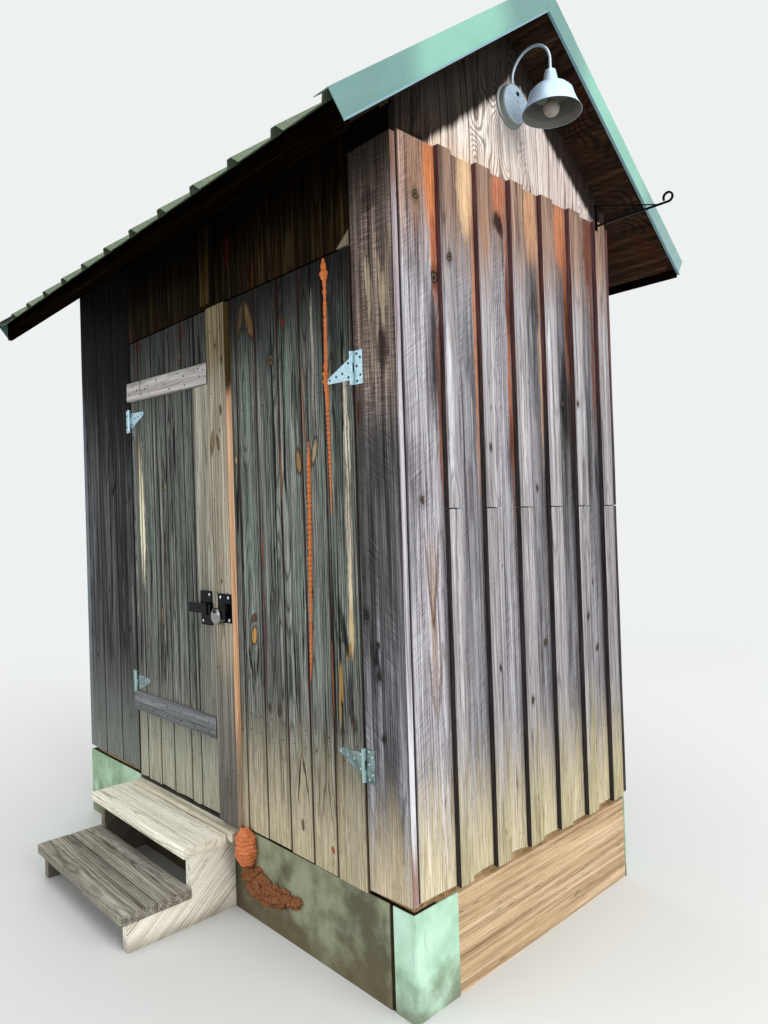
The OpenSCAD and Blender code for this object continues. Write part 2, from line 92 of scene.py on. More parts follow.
class Net:
    """The node tree of one material, with a short call for each kind of node."""

    def __init__(self, name, rough, metal, spec):
        MAT[name] = bpy.data.materials.new(name)
        MAT[name].use_nodes = True
        self.tree = MAT[name].node_tree
        self.tree.nodes.clear()
        surface = self.add("BsdfPrincipled")
        self.add("OutputMaterial", (surface[0],))
        self.inputs = surface[0].node.inputs
        self.look("Roughness", rough)
        self.look("Metallic", metal)
        self.look("Specular IOR Level", spec)

    def add(self, kind, inputs=(), **settings):
        return add_node(self.tree, kind, inputs, **settings)

    def look(self, name, value):
        """Sets or links one property of the surface."""
        put(self.tree, self.inputs[name], value)

    def math(self, op, *values):
        return self.add("Math", values, operation=op)[0]

    def fma(self, a, b, c):
        """a times b, plus c, in one node."""
        return self.math("MULTIPLY_ADD", a, b, c)

    def mul(self, a, b):
        return self.math("MULTIPLY", a, b)

    def plus(self, a, b):
        return self.math("ADD", a, b)

    def minus(self, a, b):
        return self.math("SUBTRACT", a, b)

    def size(self, value):
        """The value without its sign."""
        return self.math("ABSOLUTE", value)

    def fray(self, value, by, amount):
        """A value moved up or down by a noise."""
        return self.fma(self.minus(by, 0.5), amount, value)

    def vec(self, op, *values):
        return self.add("VectorMath", values, operation=op)["Value" if op in ("LENGTH", "DOT_PRODUCT") else "Vector"]

    def place(self):
        """Position in the part's frame, because every piece's object sits at the origin."""
        return self.add("TexCoord")["Object"]

    def xyz(self):
        return self.split(self.place())

    def attr(self, name, out="Vector"):
        return self.add("Attribute", attribute_name=name)[out]

    def split(self, vector):
        return self.add("SeparateXYZ", (vector,))

    def join(self, x, y, z):
        return self.add("CombineXYZ", (x, y, z))[0]

    def noise(self, at, scale=1.0, detail=3.0, rough=0.55):
        return self.add("TexNoise", {"Vector": at, "Scale": scale, "Detail": detail, "Roughness": rough})["Fac"]

    def drawn(self, at, scales, detail=3.0, rough=0.55):
        """Noise with a scale of its own for each axis."""
        return self.noise(self.vec("MULTIPLY", at, scales), 1.0, detail, rough)

    def cells(self, at, scale=1.0):
        return self.add("TexVoronoi", {"Vector": at, "Scale": scale})

    def fit(self, value, low, high, to_low=0.0, to_high=1.0, smooth=True):
        """Takes low to to_low and high to to_high, and holds what lies beyond."""
        return self.add("MapRange", (value, low, high, to_low, to_high),
                        interpolation_type="SMOOTHSTEP" if smooth else "LINEAR")[0]

    def ramp(self, value, stops):
        colour = self.add("ValToRGB", (value,))[0]
        points = colour.node.color_ramp.elements
        while len(points) < len(stops):
            points.new(0.5)
        for point, (at, tone) in zip(points, stops):
            point.position, point.color = at, (*tone, 1.0)
        return colour

    def mix(self, amount, a, b, kind="MIX"):
        return self.add("Mix", {0: amount, 6: a, 7: b}, data_type="RGBA", blend_type=kind)[2]

    def times(self, colour, factor):
        """The colour, multiplied by another."""
        return self.mix(1.0, colour, factor, "MULTIPLY")

    def shade(self, amount, colour, factor):
        """The colour, multiplied by another in the share that amount gives."""
        return self.mix(amount, colour, self.times(colour, factor))

    def spot(self, at, x, z, rx, rz, lean, soft, fray):
        """Mask of one oval on a wall: at is the point's (across, up), lean turns the oval in degrees, soft is
        the share of its radius that fades, and fray how ragged its edge is."""
        c, s = math.cos(math.radians(lean)), math.sin(math.radians(lean))
        u = self.fma(at[0], c / rx, -(x * c + z * s) / rx)
        v = self.fma(at[1], c / rz, (x * s - z * c) / rz)
        if lean:
            u = self.fma(at[1], s / rx, u)
            v = self.fma(at[0], -s / rz, v)
        size = self.fma(v, v, self.mul(u, u))
        size = self.fma(self.grit(at), fray * 1.5, size)
        return self.fit(size, 1.0 + fray * 0.75, (1.0 - soft) ** 2 + fray * 0.75)

    def bend(self, at):
        """A place on a wall moved a little by noise, so that what is painted there has natural edges."""
        if not hasattr(self, "bent"):
            flat = self.join(*at, 0.0)
            slow, quick = (self.drawn(flat, scales, 2.0) for scales in ((26, 5, 1), (150, 60, 1)))
            shift = self.fma(quick, 0.006, self.fma(slow, 0.022, -0.014))
            self.bent = (self.plus(at[0], shift), self.fma(shift, 2.0, at[1]))
        return self.bent

    def grit(self, at):
        """A shared noise with vertical grain for fraying the edges of spots."""
        if not hasattr(self, "gritty"):
            self.gritty = self.drawn(self.join(*at, 0.0), (160, 22, 1))
        return self.gritty

    def coat(self, colour, worn, rough, height, strength, distance):
        """Gives the surface its colour, a roughness between two values by how worn it is, and a bump map."""
        self.look("Base Color", colour)
        if rough:
            self.look("Roughness", self.fit(worn, 0.2, 0.8, *rough))
        self.look("Normal", self.add("Bump", {"Strength": strength, "Distance": distance, "Height": height})[0])


def rgb(tone):
    """A colour written as a hexadecimal number in display values."""
    return tuple(((v / 255 + 0.055) / 1.055) ** 2.4 if v > 10 else v / 255 / 12.92
                 for v in (tone >> 16, tone >> 8 & 255, tone & 255))


def tones(deepest, deep, light, lightest, low=0.4, high=0.7):
    """Stops of a ramp from the deepest grain to the lightest."""
    return [(0.0, rgb(deepest)), (low, rgb(deep)), (high, rgb(light)), (1.0, rgb(lightest))]


def grain(net, at, ring, swirl):
    """Streaks, growth rings and drying cracks of sawn wood: at is (across, depth, along) in metres."""
    x, y, z = net.split(at)
    slow = net.noise(net.join(0.0, 0.0, z), 1.3, 2.0)
    wobble = net.drawn(at, (7, 7, 1.1), 2.0)
    depth = net.plus(y, net.mul(net.minus(slow, 0.5), swirl * 2))
    side = net.plus(x, net.mul(net.minus(wobble, 0.5), 0.03))
    phase = net.mul(net.vec("LENGTH", net.join(side, depth, 0.0)), 2 * math.pi / ring)
    rings = net.math("POWER", net.fma(net.math("SINE", phase), 0.5, 0.5), 3.5)
    broad = net.drawn(at, (48, 48, 1.2), 3.0, 0.6)
    fine = net.drawn(at, (260, 260, 5.0), 4.0, 0.7)
    line = net.drawn(at, (62, 62, 1.5), 2.0, 0.5)
    crack = net.fit(net.size(net.minus(line, 0.43)), 0.014, 0.0)
    patch = net.drawn(at, (9, 9, 1.6), 2.0)
    crack = net.mul(crack, net.fit(patch, 0.42, 0.6))
    groove = net.drawn(at, (34, 34, 0.35), 1.0, 0.5)
    groove = net.fit(net.size(net.minus(groove, 0.5)), 0.020, 0.004)
    fibre = net.drawn(at, (520, 520, 9.0), 3.0, 0.75)
    pits = net.fit(net.drawn(at, (330, 330, 34.0), 2.0), 0.63, 0.70)
    return {"rings": rings, "broad": broad, "fine": fine, "crack": crack, "patch": patch, "groove": groove,
            "fibre": fibre, "pits": pits}


# Tone of cracks, pits and seams
GAP_TONE = (0.006, 0.005, 0.004)


def wood(name, stops, ring=0.011, rings=0.35, fine=0.3, swirl=0.05, grain_at=None, paint=None, sawn=None,
         sawn_by=0.35, seam_w=0.004, lines=0.0, span=0.2, fibres=0.4, pits=0.45, seam_tone=GAP_TONE, spec=0.08):
    """Weathered wood: stops is its colours from dark to light, paint adds what is particular to a wall.
    Without grain_at it is for boards, whose meshes carry the grain's place, a tint and the way to the edges."""
    net = Net(name, 0.85, 0.0, spec)
    at = grain_at(net) if grain_at else net.attr("gc")
    g = grain(net, at, ring, swirl)
    level = net.fma(g["broad"], 1.0 - fine, net.mul(g["fine"], fine))
    level = net.plus(level, net.mul(net.minus(0.4, g["rings"]), rings * 0.5))
    level = net.fray(level, g["fibre"], fibres)
    level = net.fma(g["groove"], -lines, level)
    if sawn:
        level = net.fray(level, sawn(net, at), sawn_by)
    colour = net.ramp(net.fit(level, 0.5 - span, 0.5 + span, smooth=False), stops)
    if not grain_at:
        colour = net.times(colour, net.attr("tint", "Color"))
    if paint:
        colour = paint(net, colour, g)
    dark = net.math("MAXIMUM", net.mul(g["crack"], 0.7), net.mul(g["pits"], pits))
    colour = net.mix(dark, colour, GAP_TONE)
    if seam_w and not grain_at:
        left, right, _ = net.split(net.attr("edge"))
        near = net.fma(g["fine"], -0.003, net.math("MINIMUM", left, right))
        seam = net.fit(near, seam_w, -0.0005)
        colour = net.mix(net.mul(seam, 0.85), colour, seam_tone)
    net.coat(colour, None, None, net.fma(dark, -1.2, level), 0.6, 0.0015)


# Boards


# How far a board's face bulges and dents, and about how long the steps along it and across it are
BULGE, DENT = 0.0006, 0.0004
STEP_ALONG, STEP_ACROSS = 0.045, 0.035


def height_at(shape, share):
    """Height of a board's end at a share of its width, from a list of (share, rise)."""
    for (a, low), (b, high) in zip(shape, shape[1:]):
        if share <= b:
            return low + (high - low) * (share - a) / max(b - a, 1e-6)
    return shape[-1][1] if shape else 0.0


def board(bm, at, across, along, inward, width, length, thick, seed, tint=(1, 1, 1), edge=0.0025, wave=0.0012,
          foot=(), top=(), cols=0, vary=0.12, side=0):
    """One sawn board, as wide, long and thick as given from its corner at. foot and top are lists of (place
    from 0 to 1 across, rise) for its ends, vary is how far its tint may stray by its seed, and side is the
    material of the face at its far edge."""
    rnd = random.Random(seed)
    gc = bm.verts.layers.float_vector["gc"]
    tn = bm.verts.layers.float_color["tint"]
    eg = bm.verts.layers.float_vector["edge"]
    pith_x = rnd.uniform(-0.35, 0.35) * width
    pith_d = rnd.uniform(0.008, 0.045)
    shift = rnd.uniform(0, 90)
    cols = cols or max(3, round(width / STEP_ACROSS))
    rows = max(2, round(length / STEP_ALONG))
    shade = rnd.uniform(1 - vary, 1 + vary)
    tint = tuple(t * shade for t in tint)

    section = [(0.0, thick), (0.0, edge), (edge * 0.35, edge * 0.3)]
    section += [(edge + (width - 2 * edge) * i / cols, 0.0) for i in range(cols + 1)]
    section += [(width - edge * 0.35, edge * 0.3), (width, edge), (width, thick)]

    rings = []
    for j in range(rows + 1):
        ring = []
        for u, d in section:
            share = u / width
            low = height_at(foot, share)
            high = length + height_at(top, share)
            v = low + (high - low) * j / rows
            sway = wave * noise.noise(Vector((share * 0.7, v * 2.6, shift)))
            bulge = BULGE * (1 - (2 * share - 1) ** 2) * noise.noise(Vector((shift, v * 0.8, 3.1)))
            dent = DENT * noise.noise(Vector((u * 60, v * 5, shift)))
            inner = 1.0 if d >= thick * 0.99 else 0.0
            place = at + across * (u + sway) + along * v + inward * (d + (bulge + dent) * (1 - inner))
            vert = bm.verts.new(place)
            vert[gc] = (u - width / 2 - pith_x, d + pith_d, v + shift)
            vert[tn] = (*tint, 1.0)
            vert[eg] = (u, width - u, v)
            ring.append(vert)
        rings.append(ring)
    n = len(section)
    flip = across.cross(along).dot(inward) > 0
    for a, b in zip(rings, rings[1:]):
        for i in range(n):
            k = (i + 1) % n
            quad = (a[i], a[k], b[k], b[i])
            face = bm.faces.new(quad[::-1] if flip else quad)
            if side and i >= n - 3 and i < n - 1:
                face.material_index = side
    bm.faces.new(rings[0] if flip else rings[0][::-1])
    bm.faces.new(rings[-1][::-1] if flip else rings[-1])


def new_mesh():
    bm = bmesh.new()
    bm.verts.layers.float_vector.new("gc")
    bm.verts.layers.float_vector.new("edge")
    bm.verts.layers.float_color.new("tint")
    return bm


def piece(name, bm, keys, body="shed", replaces=()):
    """Makes the object of a finished mesh, with its materials, and says what it rides on and stands for."""
    mesh = bpy.data.meshes.new(name)
    bmesh.ops.recalc_face_normals(bm, faces=bm.faces)
    bm.to_mesh(mesh)
    bm.free()
    for poly in mesh.polygons:
        poly.use_smooth = True
    mesh.set_sharp_from_angle(angle=math.radians(40))
    for key in keys:
        mesh.materials.append(MAT[key])
    obj = bpy.data.objects.new(name, mesh)
    SCENE.collection.objects.link(obj)
    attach(obj, body)
    if replaces:
        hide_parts(*replaces)


def uneven(seed, amount):
    """A slightly ragged end for a board."""
    rnd = random.Random(seed)
    return [(share, rnd.uniform(-1, 1) * amount) for share in (0.0, 0.5, 1.0)]


# Wood colours

GREY = tones(0x121112, 0x303030, 0x4A4B4C, 0x7A7C7D, 0.35, 0.65)
DOOR = tones(0x191916, 0x474946, 0x666965, 0x9C9E97, 0.35, 0.6)
SILVER = tones(0x282425, 0x625E60, 0x98969A, 0xD8D6DA, 0.3, 0.6)
TAN = tones(0x4E4436, 0x7E7667, 0x968F80, 0xB8B09E)
PALE = tones(0x686560, 0x9A9894, 0xB4B2AE, 0xD2D0CC)
SAWN = tones(0x5C442C, 0x967854, 0xB69870, 0xD0B690)
NEW = tones(0x9E9686, 0xE6E1D2, 0xF6F2E4, 0xFEFBF2)
PLY = tones(0x70625C, 0xBEB2AC, 0xE8E0D8, 0xFAF6F0, 0.3, 0.6)
# Painted shade: near black for the header and fascia under the eaves, deep brown, partly its own, for the roof's
# underside
SHADED_DARK = tones(0x060301, 0x110B04, 0x1C1409, 0x322816)
FASCIA = tones(0x020100, 0x050201, 0x090502, 0x160E08)
SOFFIT = tones(0x100A06, 0x281B11, 0x38281B, 0x544230)
SILL = tones(0x706A5A, 0xC4BEAA, 0xD6D0BE, 0xE6E2D0)
STEP = tones(0x9C9886, 0xDEDAC8, 0xF0ECDC, 0xFCF8EA)
BASE = tones(0x766048, 0xB49876, 0xCEB492, 0xE4CEAE)
EDGE = tones(0xB07C58, 0xE2B088, 0xEEC6A2, 0xFAE4CC)
LAVENDER = tones(0x6E686C, 0xA09EA4, 0xB2B2BA, 0xC8CAD2)


def wall_at(net, first="x"):
    """(across, up) of a point on the front wall, or on a gable wall with first = y."""
    x, y, z = net.xyz()
    return (x if first == "x" else y, z)


def weather_and_eave_shade(net, colour, g, at, low, low_tone, high, high_dark):
    """Splash-bleached, slightly green foot of a wall; dark band under the eaves, part weathering, part painted shade.
    """
    ragged = net.fray(at[1], g["broad"], 0.5)
    foot = net.fit(ragged, low[1], low[0])
    tone = net.fma(g["fibre"], 0.5, net.mul(g["fine"], 0.5))
    grained = net.times(net.mix(net.fit(tone, 0.3, 0.7), (0.38, 0.35, 0.30), (1.45, 1.45, 1.4)), low_tone)
    colour = net.mix(net.mul(foot, 0.75), colour, grained)
    # Darker under the eaves: partly weathering and partly painted shade
    return net.shade(net.fit(ragged, *high), colour, (high_dark,) * 3)


def scaled(tone, factor):
    return tuple(min(c * factor, 1.0) for c in rgb(tone))


def metres(rows):
    """Rows of marks with their millimetres as metres, and upright where they give no lean."""
    for x, z, rx, rz, tone, amount, *lean in rows:
        yield x / 1000, z / 1000, rx / 1000, rz / 1000, lean[0] if lean else 0, tone, amount


def streaks(net, colour, at, g, rows):
    """Long marks along the grain, in rows of (across, up, half width, half height, tone, amount, lean), the
    first four in millimetres and the lean, if any, in degrees."""
    at = net.bend(at)
    grained = net.fma(g["fine"], 0.4, net.mul(g["fibre"], 0.4))
    grained = net.fit(net.fma(net.grit(at), 0.2, grained), 0.36, 0.64)
    for *oval, tone, amount in metres(rows):
        mask = net.spot(at, *oval, 0.6, 0.9)
        marks = net.mix(grained, scaled(tone, 0.55), scaled(tone, 1.35))
        colour = net.mix(net.mul(mask, amount), colour, marks)
    return colour


def lenses(net, colour, at, g, rows):
    """Bare lens-shaped wood with a dark outline, in rows as for streaks."""
    at = net.bend(at)
    grained = net.fit(net.fma(net.grit(at), 0.3, net.mul(g["fine"], 0.7)), 0.38, 0.62)
    for x, z, rx, rz, lean, tone, amount in metres(rows):
        outline = net.spot(at, x, z, rx * 1.55, rz * 1.25, lean, 0.4, 0.3)
        colour = net.mix(net.mul(outline, amount), colour, 0x1E1914)
        core = net.spot(at, x, z, rx * 1.1, rz, lean, 0.4, 0.3)
        bare = net.mix(grained, scaled(tone, 0.35), scaled(tone, 1.35))
        colour = net.mix(net.mul(core, amount), colour, bare)
    return colour


def knots(net, colour, at, rows, tone=0x261E18, halo=0x5C4E3A):
    """Round knots, dark in the middle and at the rim: rows of (across, up, radius) in millimetres."""
    at = net.bend(at)
    for row in rows:
        x, z, r = (v / 1000 for v in row)
        around = net.spot(at, x, z, r * 1.7, r * 3.2, 0, 0.8, 0.4)
        colour = net.shade(net.mul(around, 0.6), colour, (0.25,) * 3)
        colour = net.mix(net.spot(at, x, z, r, r * 1.3, 0, 0.25, 0.3), colour, tone)
        colour = net.mix(net.spot(at, x, z, r * 0.72, r * 0.95, 0, 0.4, 0.3), colour, halo)
        colour = net.mix(net.spot(at, x, z, r * 0.4, r * 0.5, 0, 0.5, 0.3), colour, tone)
    return colour


# What is particular to each wall and door


def paint_left_wall(net, colour, g):
    at = wall_at(net)
    colour = knots(net, colour, at, [
        (-860, 1710, 14), (-657, 1687, 16), (-930, 1200, 10), (-700, 1020, 10), (-1100, 850, 9), (-698, 1647, 8),
    ], 0x0E0C0C, 0x464444)
    colour = streaks(net, colour, at, g, [
        (-1195, 1300, 26, 1100, 0x848E94, 0.75), (-900, 1850, 10, 160, 0x161414, 0.9, -12),
        (-830, 1730, 14, 70, 0x141212, 0.9, -35), (-760, 2200, 40, 420, 0x100E0E, 0.6),
        (-670, 2050, 30, 360, 0x141212, 0.55), (-1000, 2200, 40, 360, 0x121111, 0.5),
        (-715, 1300, 10, 220, 0x1E1C1C, 0.8, 2), (-940, 920, 12, 120, 0x1A1818, 0.8),
        (-655, 1100, 10, 260, 0x969896, 0.5), (-870, 1150, 14, 400, 0x808284, 0.4)])
    colour = net.times(colour, (0.84, 0.82, 0.83))
    colour = weather_and_eave_shade(net, colour, g, at, (0.28, 1.0), 0x828884, (1.70, 2.35), 0.06)
    return streaks(net, colour, at, g, [
        (-1205, 1950, 22, 360, 0x5C6474, 0.8), (-1150, 2100, 12, 300, 0x343234, 0.6),
        (-935, 2100, 16, 340, 0x2E2826, 0.6), (-850, 2000, 20, 240, 0x0A0909, 0.8)])


LEFT_DOOR_STREAKS = [
    (-536, 1830, 14, 180, 0x9C8A64, 0.9, 0.6), (-527, 1550, 30, 380, 0xF6F0C6, 1.0, 0.8),
    (-556, 1600, 10, 460, 0x5C3E28, 0.6, 0.8), (-536, 1700, 5, 120, 0xC4743C, 0.7),
    (-528, 2385, 22, 50, 0x460E04, 0.95), (-526, 2300, 7, 100, 0x501206, 0.9), (-103, 2365, 20, 60, 0x40180A, 0.9),
    (-100, 2270, 6, 60, 0x40180A, 0.8), (-294, 1775, 8, 75, 0x181410, 0.9, 7),
    (-268, 1775, 8, 85, 0x181410, 0.9, -9), (-318, 1460, 7, 240, 0x68382C, 0.5),
    (-330, 920, 10, 140, 0x22201C, 0.8), (-475, 1250, 7, 340, 0xA0A496, 0.6), (-430, 1550, 12, 420, 0x76867C, 0.5),
    (-205, 1500, 6, 500, 0x1E1E1C, 0.7), (-215, 1300, 6, 500, 0x96988E, 0.5), (-155, 1450, 9, 560, 0x2C2C2A, 0.6),
    (-40, 1400, 12, 550, 0x282A28, 0.5), (-360, 1850, 14, 260, 0x222420, 0.5),
]
LEFT_DOOR_LENSES = [
    (-344, 1110, 12, 50, 0x806444, 0.95, 12), (-118, 2235, 14, 18, 0x543824, 0.9),
    (-290, 1700, 7, 22, 0x967A54, 0.9),
]

RIGHT_DOOR_STREAKS = [
    (980, 1820, 18, 250, 0xD0C8B6, 1.0, 0.3), (977, 1500, 18, 280, 0xB8AE9E, 1.0, 0.5),
    (984, 1680, 3.5, 460, 0x3C3228, 0.9, 0.4), (972, 1600, 3, 400, 0x605240, 0.8, 0.4),
    (973, 1300, 14, 150, 0xCCBCA0, 1.0, 0.5), (974, 1170, 15, 110, 0xC4AC84, 1.0, 1),
    (958, 1090, 12, 45, 0xA0804C, 1.0, -22), (914, 985, 14, 80, 0x967846, 1.0, 2),
    (904, 900, 9, 65, 0x967A4A, 0.95, 2), (940, 1140, 18, 120, 0x161414, 0.9, 12),
    (960, 950, 17, 130, 0x1E1E22, 0.85), (985, 980, 8, 120, 0x78746E, 0.6, -4), (812, 2080, 8, 280, 0x969084, 0.85),
    (822, 1900, 4, 260, 0x462C28, 0.8), (612, 2050, 4.5, 340, 0x481612, 0.9, 0.5),
    (606, 1760, 5.5, 70, 0x962E14, 0.95), (610, 1500, 4.5, 340, 0x541E16, 0.85, 0.5),
    (478, 1420, 4, 100, 0x963218, 0.9), (476, 1100, 4, 340, 0x602218, 0.85), (741, 900, 4.5, 200, 0x963418, 0.85),
    (872, 1040, 4.5, 260, 0x782816, 0.85), (742, 1930, 4, 160, 0x782C1A, 0.7),
    (375, 1000, 7, 85, 0x161412, 0.95, 8), (424, 1000, 7, 85, 0x161412, 0.95, -8), (400, 950, 9, 60, 0x221C18, 0.9),
    (394, 860, 4, 60, 0x1E1A16, 0.8), (352, 1000, 5, 130, 0x2C2A26, 0.7, 8), (446, 1000, 5, 130, 0x2C2A26, 0.7, -8),
    (668, 620, 6, 130, 0x2C2820, 0.85, -9), (704, 620, 6, 130, 0x2C2820, 0.85, 9),
    (803, 570, 5, 90, 0x3C3628, 0.8, -9), (838, 570, 5, 90, 0x3C3628, 0.8, 9),
    (780, 600, 5, 140, 0x544E3A, 0.6, -7), (858, 600, 5, 140, 0x544E3A, 0.6, 7), (680, 950, 10, 220, 0x24221E, 0.7),
    (535, 1030, 6, 120, 0x282622, 0.7, -4), (400, 1950, 26, 260, 0x708278, 0.55),
    (660, 2000, 24, 240, 0x74847A, 0.55), (400, 1500, 30, 300, 0x6E8076, 0.5), (700, 1350, 20, 300, 0x748078, 0.4),
    (800, 1050, 24, 300, 0x7E8A84, 0.5), (560, 1750, 16, 300, 0x222420, 0.6),
    (690, 1980, 6, 160, 0x262420, 0.8, -3), (715, 1980, 6, 160, 0x262420, 0.8, 3),
    (520, 1220, 4, 100, 0x1E1E1C, 0.8, -6), (548, 1220, 4, 100, 0x1E1E1C, 0.8, 6),
    (930, 2150, 30, 240, 0x1E201E, 0.55), (500, 2300, 30, 120, 0x181A16, 0.5),
]
RIGHT_DOOR_LENSES = [
    (718, 1735, 14, 54, 0x96764E, 1.0, 4), (806, 1760, 13, 56, 0x96866A, 1.0, -16),
    (368, 2312, 15, 66, 0x483824, 0.95, -14), (428, 2300, 18, 92, 0x644C2E, 0.95, 17),
    (646, 2240, 13, 26, 0x5A2C1E, 0.9), (404, 1092, 15, 38, 0xBA8C50, 1.0), (408, 1160, 15, 18, 0x68523A, 0.9),
    (312, 1770, 10, 20, 0xA08A68, 0.9), (679, 453, 8, 22, 0x70603E, 0.9), (845, 414, 8, 11, 0xC84C24, 0.9),
    (531, 1248, 8, 22, 0x606258, 0.8), (298, 724, 10, 14, 0x968A74, 0.9),
]


def paint_door(net, colour, g, lines, bare, dark_knots, high_dark, low_tone):
    at = wall_at(net)
    green = net.mul(net.fit(g["patch"], 0.42, 0.6), net.fit(at[1], 0.7, 1.3))
    colour = net.shade(net.mul(green, 0.5), colour, (0.92, 1.08, 1.0))
    colour = weather_and_eave_shade(net, colour, g, at, (0.34, 0.92), low_tone, (1.90, 2.42), high_dark)
    colour = streaks(net, colour, at, g, lines)
    colour = lenses(net, colour, at, g, bare)
    return knots(net, colour, at, dark_knots)


def paint_left_door(net, colour, g):
    return paint_door(net, colour, g, LEFT_DOOR_STREAKS, LEFT_DOOR_LENSES, [(-200, 1450, 9)], 0.24, 0xB4B4A4)


def paint_right_door(net, colour, g):
    rows = [(564, 2118, 21), (491, 828, 10), (556, 836, 12), (977, 857, 13), (460, 922, 7)]
    return paint_door(net, colour, g, RIGHT_DOOR_STREAKS, RIGHT_DOOR_LENSES, rows, 0.06, 0xCABEA2)


# Fresh wood and stains on the recessed boards of a gable wall, in rows as for streaks
FRESH_STRIPS = [
    (-448, 2620, 52, 220, 0xBE7448, 0.95), (-446, 2360, 22, 200, 0xA05C3C, 0.95),
    (-440, 1900, 12, 420, 0x804E3C, 0.9), (-282, 2620, 50, 200, 0xD6B48E, 0.85),
    (-252, 2100, 12, 620, 0xB27A5C, 0.9), (-96, 2660, 52, 130, 0xAC6C52, 0.95),
    (-66, 2050, 14, 660, 0x9E5E42, 0.95), (90, 2620, 50, 220, 0xC09472, 0.85), (126, 2200, 10, 600, 0xC49E7E, 0.9),
    (285, 2620, 48, 200, 0xB87856, 0.95), (312, 2300, 20, 380, 0xA66644, 0.95), (318, 1850, 7, 300, 0x84583E, 0.8),
    (486, 2600, 44, 240, 0x6C4236, 0.95), (500, 2150, 14, 400, 0x804C38, 0.9),
    (-104, 2545, 30, 60, 0x2C1A12, 0.95, 20), (-530, 2600, 40, 220, 0x96745C, 0.6),
    (-560, 1250, 8, 500, 0xCDCACE, 0.6), (-500, 1200, 20, 360, 0x967C6A, 0.6),
    (-515, 1320, 8, 200, 0x604432, 0.7, 6), (-485, 1320, 8, 200, 0x604432, 0.7, -6),
    (-520, 1000, 8, 160, 0x604838, 0.6, 7), (-480, 1000, 8, 160, 0x604838, 0.6, -7),
    (-460, 2050, 20, 240, 0x282426, 0.6), (-270, 1950, 14, 400, 0x302C2E, 0.55), (90, 2100, 14, 340, 0x2C2624, 0.6),
    (270, 1850, 20, 340, 0x242224, 0.65), (450, 1800, 20, 340, 0x302E32, 0.6),
]


def shadow_left_by_battens(net, at, side):
    """Mask of painted shade that a batten casts on the recessed board, just before its front edge."""
    past = net.math("FLOORED_MODULO", net.minus(at[0], BATTEN_Y), BATTEN_PITCH)
    return net.fit(past, BATTEN_PITCH - side, BATTEN_PITCH)


def paint_gable(net, colour, g):
    at = wall_at(net, "y")
    # Painted shade beside each batten, strongest low down
    shade_mask = net.mul(shadow_left_by_battens(net, at, 0.034), net.fit(at[1], 2.3, 1.5))
    colour = net.shade(net.mul(shade_mask, 0.7), colour, (0.22, 0.2, 0.21))
    brown = net.fit(net.fray(at[1], g["broad"], 0.6), 2.25, 2.6)
    colour = net.shade(net.mul(brown, 0.8), colour, 0xECBC96)
    colour = streaks(net, colour, at, g, FRESH_STRIPS)
    black = net.mul(net.fit(net.size(net.minus(at[1], 1.9)), 0.7, 0.3), net.fit(g["patch"], 0.50, 0.62))
    colour = net.shade(net.mul(black, net.fit(at[0], -0.55, 0.1, 0.5, 0.95)), colour, (0.25, 0.24, 0.26))
    far = net.mul(net.fit(at[0], -0.1, 0.3), net.fit(at[1], 1.0, 1.5))
    far = net.mul(far, net.fit(at[1], 2.5, 2.3))
    colour = net.shade(far, colour, (0.62, 0.62, 0.62))
    colour = knots(net, colour, at, [
        (-526, 2531, 14), (-535, 1580, 11), (-448, 2294, 18), (270, 1950, 10), (100, 1050, 10), (440, 1250, 10),
        (460, 980, 9), (80, 1620, 9)])
    return weather_and_eave_shade(net, colour, g, at, (0.36, 0.88), 0xDED1AE, (2.9, 3.2), 0.6)


def paint_battens(net, colour, g):
    at = wall_at(net, "y")
    brown = net.fit(net.fray(at[1], g["broad"], 0.6), 2.2, 2.6)
    colour = net.shade(net.mul(brown, 0.85), colour, 0xE6B892)
    colour = streaks(net, colour, at, g, [
        (-415, 1900, 12, 400, 0xD6D6DC, 0.6), (-20, 1850, 8, 240, 0xD2D0D4, 0.6),
        (160, 2050, 12, 300, 0xD8D8DE, 0.6), (345, 1800, 10, 300, 0xCECED4, 0.5),
        (-400, 1150, 10, 400, 0xD6D4D8, 0.5), (-210, 2500, 20, 160, 0x966E52, 0.5)])
    colour = knots(net, colour, at, [
        (-395, 2360, 13), (-20, 860, 10), (345, 1950, 9), (-215, 1750, 9), (370, 1120, 9), (-200, 1000, 8)])
    colour = weather_and_eave_shade(net, colour, g, at, (0.36, 0.92), 0xC0B58A, (2.9, 3.2), 0.6)
    # The narrow faces are maroon high up and nearly black below, the black being painted shade
    side = net.fit(net.split(net.attr("edge"))[0], 0.0018, 0.0004)
    maroon = net.mix(net.fit(g["fine"], 0.35, 0.65), 0x3A2224, 0x704E4E)
    dark = net.mix(net.fit(g["fine"], 0.35, 0.65), 0x1A1616, 0x4A4444)
    return net.mix(side, colour, net.mix(net.fit(at[1], 1.7, 2.3), dark, maroon))


def saw_marks(net, at, lean=0.75, pitch=170.0):
    """Slanted strokes that the saw left across the board."""
    x, _, z = net.split(at)
    run = net.fma(x, lean, z)
    stroke = net.noise(net.join(net.mul(x, 14.0), 0.0, net.mul(run, pitch)), 1.0, 3.0, 0.7)
    worn = net.drawn(at, (12, 12, 3.0), 2.0)
    stroke = net.minus(stroke, 0.5)
    return net.fma(stroke, net.fit(worn, 0.35, 0.6, 0.35, 1.3), 0.5)


def gable_marks(net, at):
    return saw_marks(net, at, -0.7, 260.0)


def corner_marks(net, at):
    """Level strokes in the upper part of the corner board and slanted ones below."""
    up = net.xyz()[2]
    level = saw_marks(net, at, 0.05, 230.0)
    slanted = saw_marks(net, at, 0.8, 260.0)
    share = net.fit(up, 1.75, 1.9)
    return net.fma(net.minus(level, slanted), share, slanted)


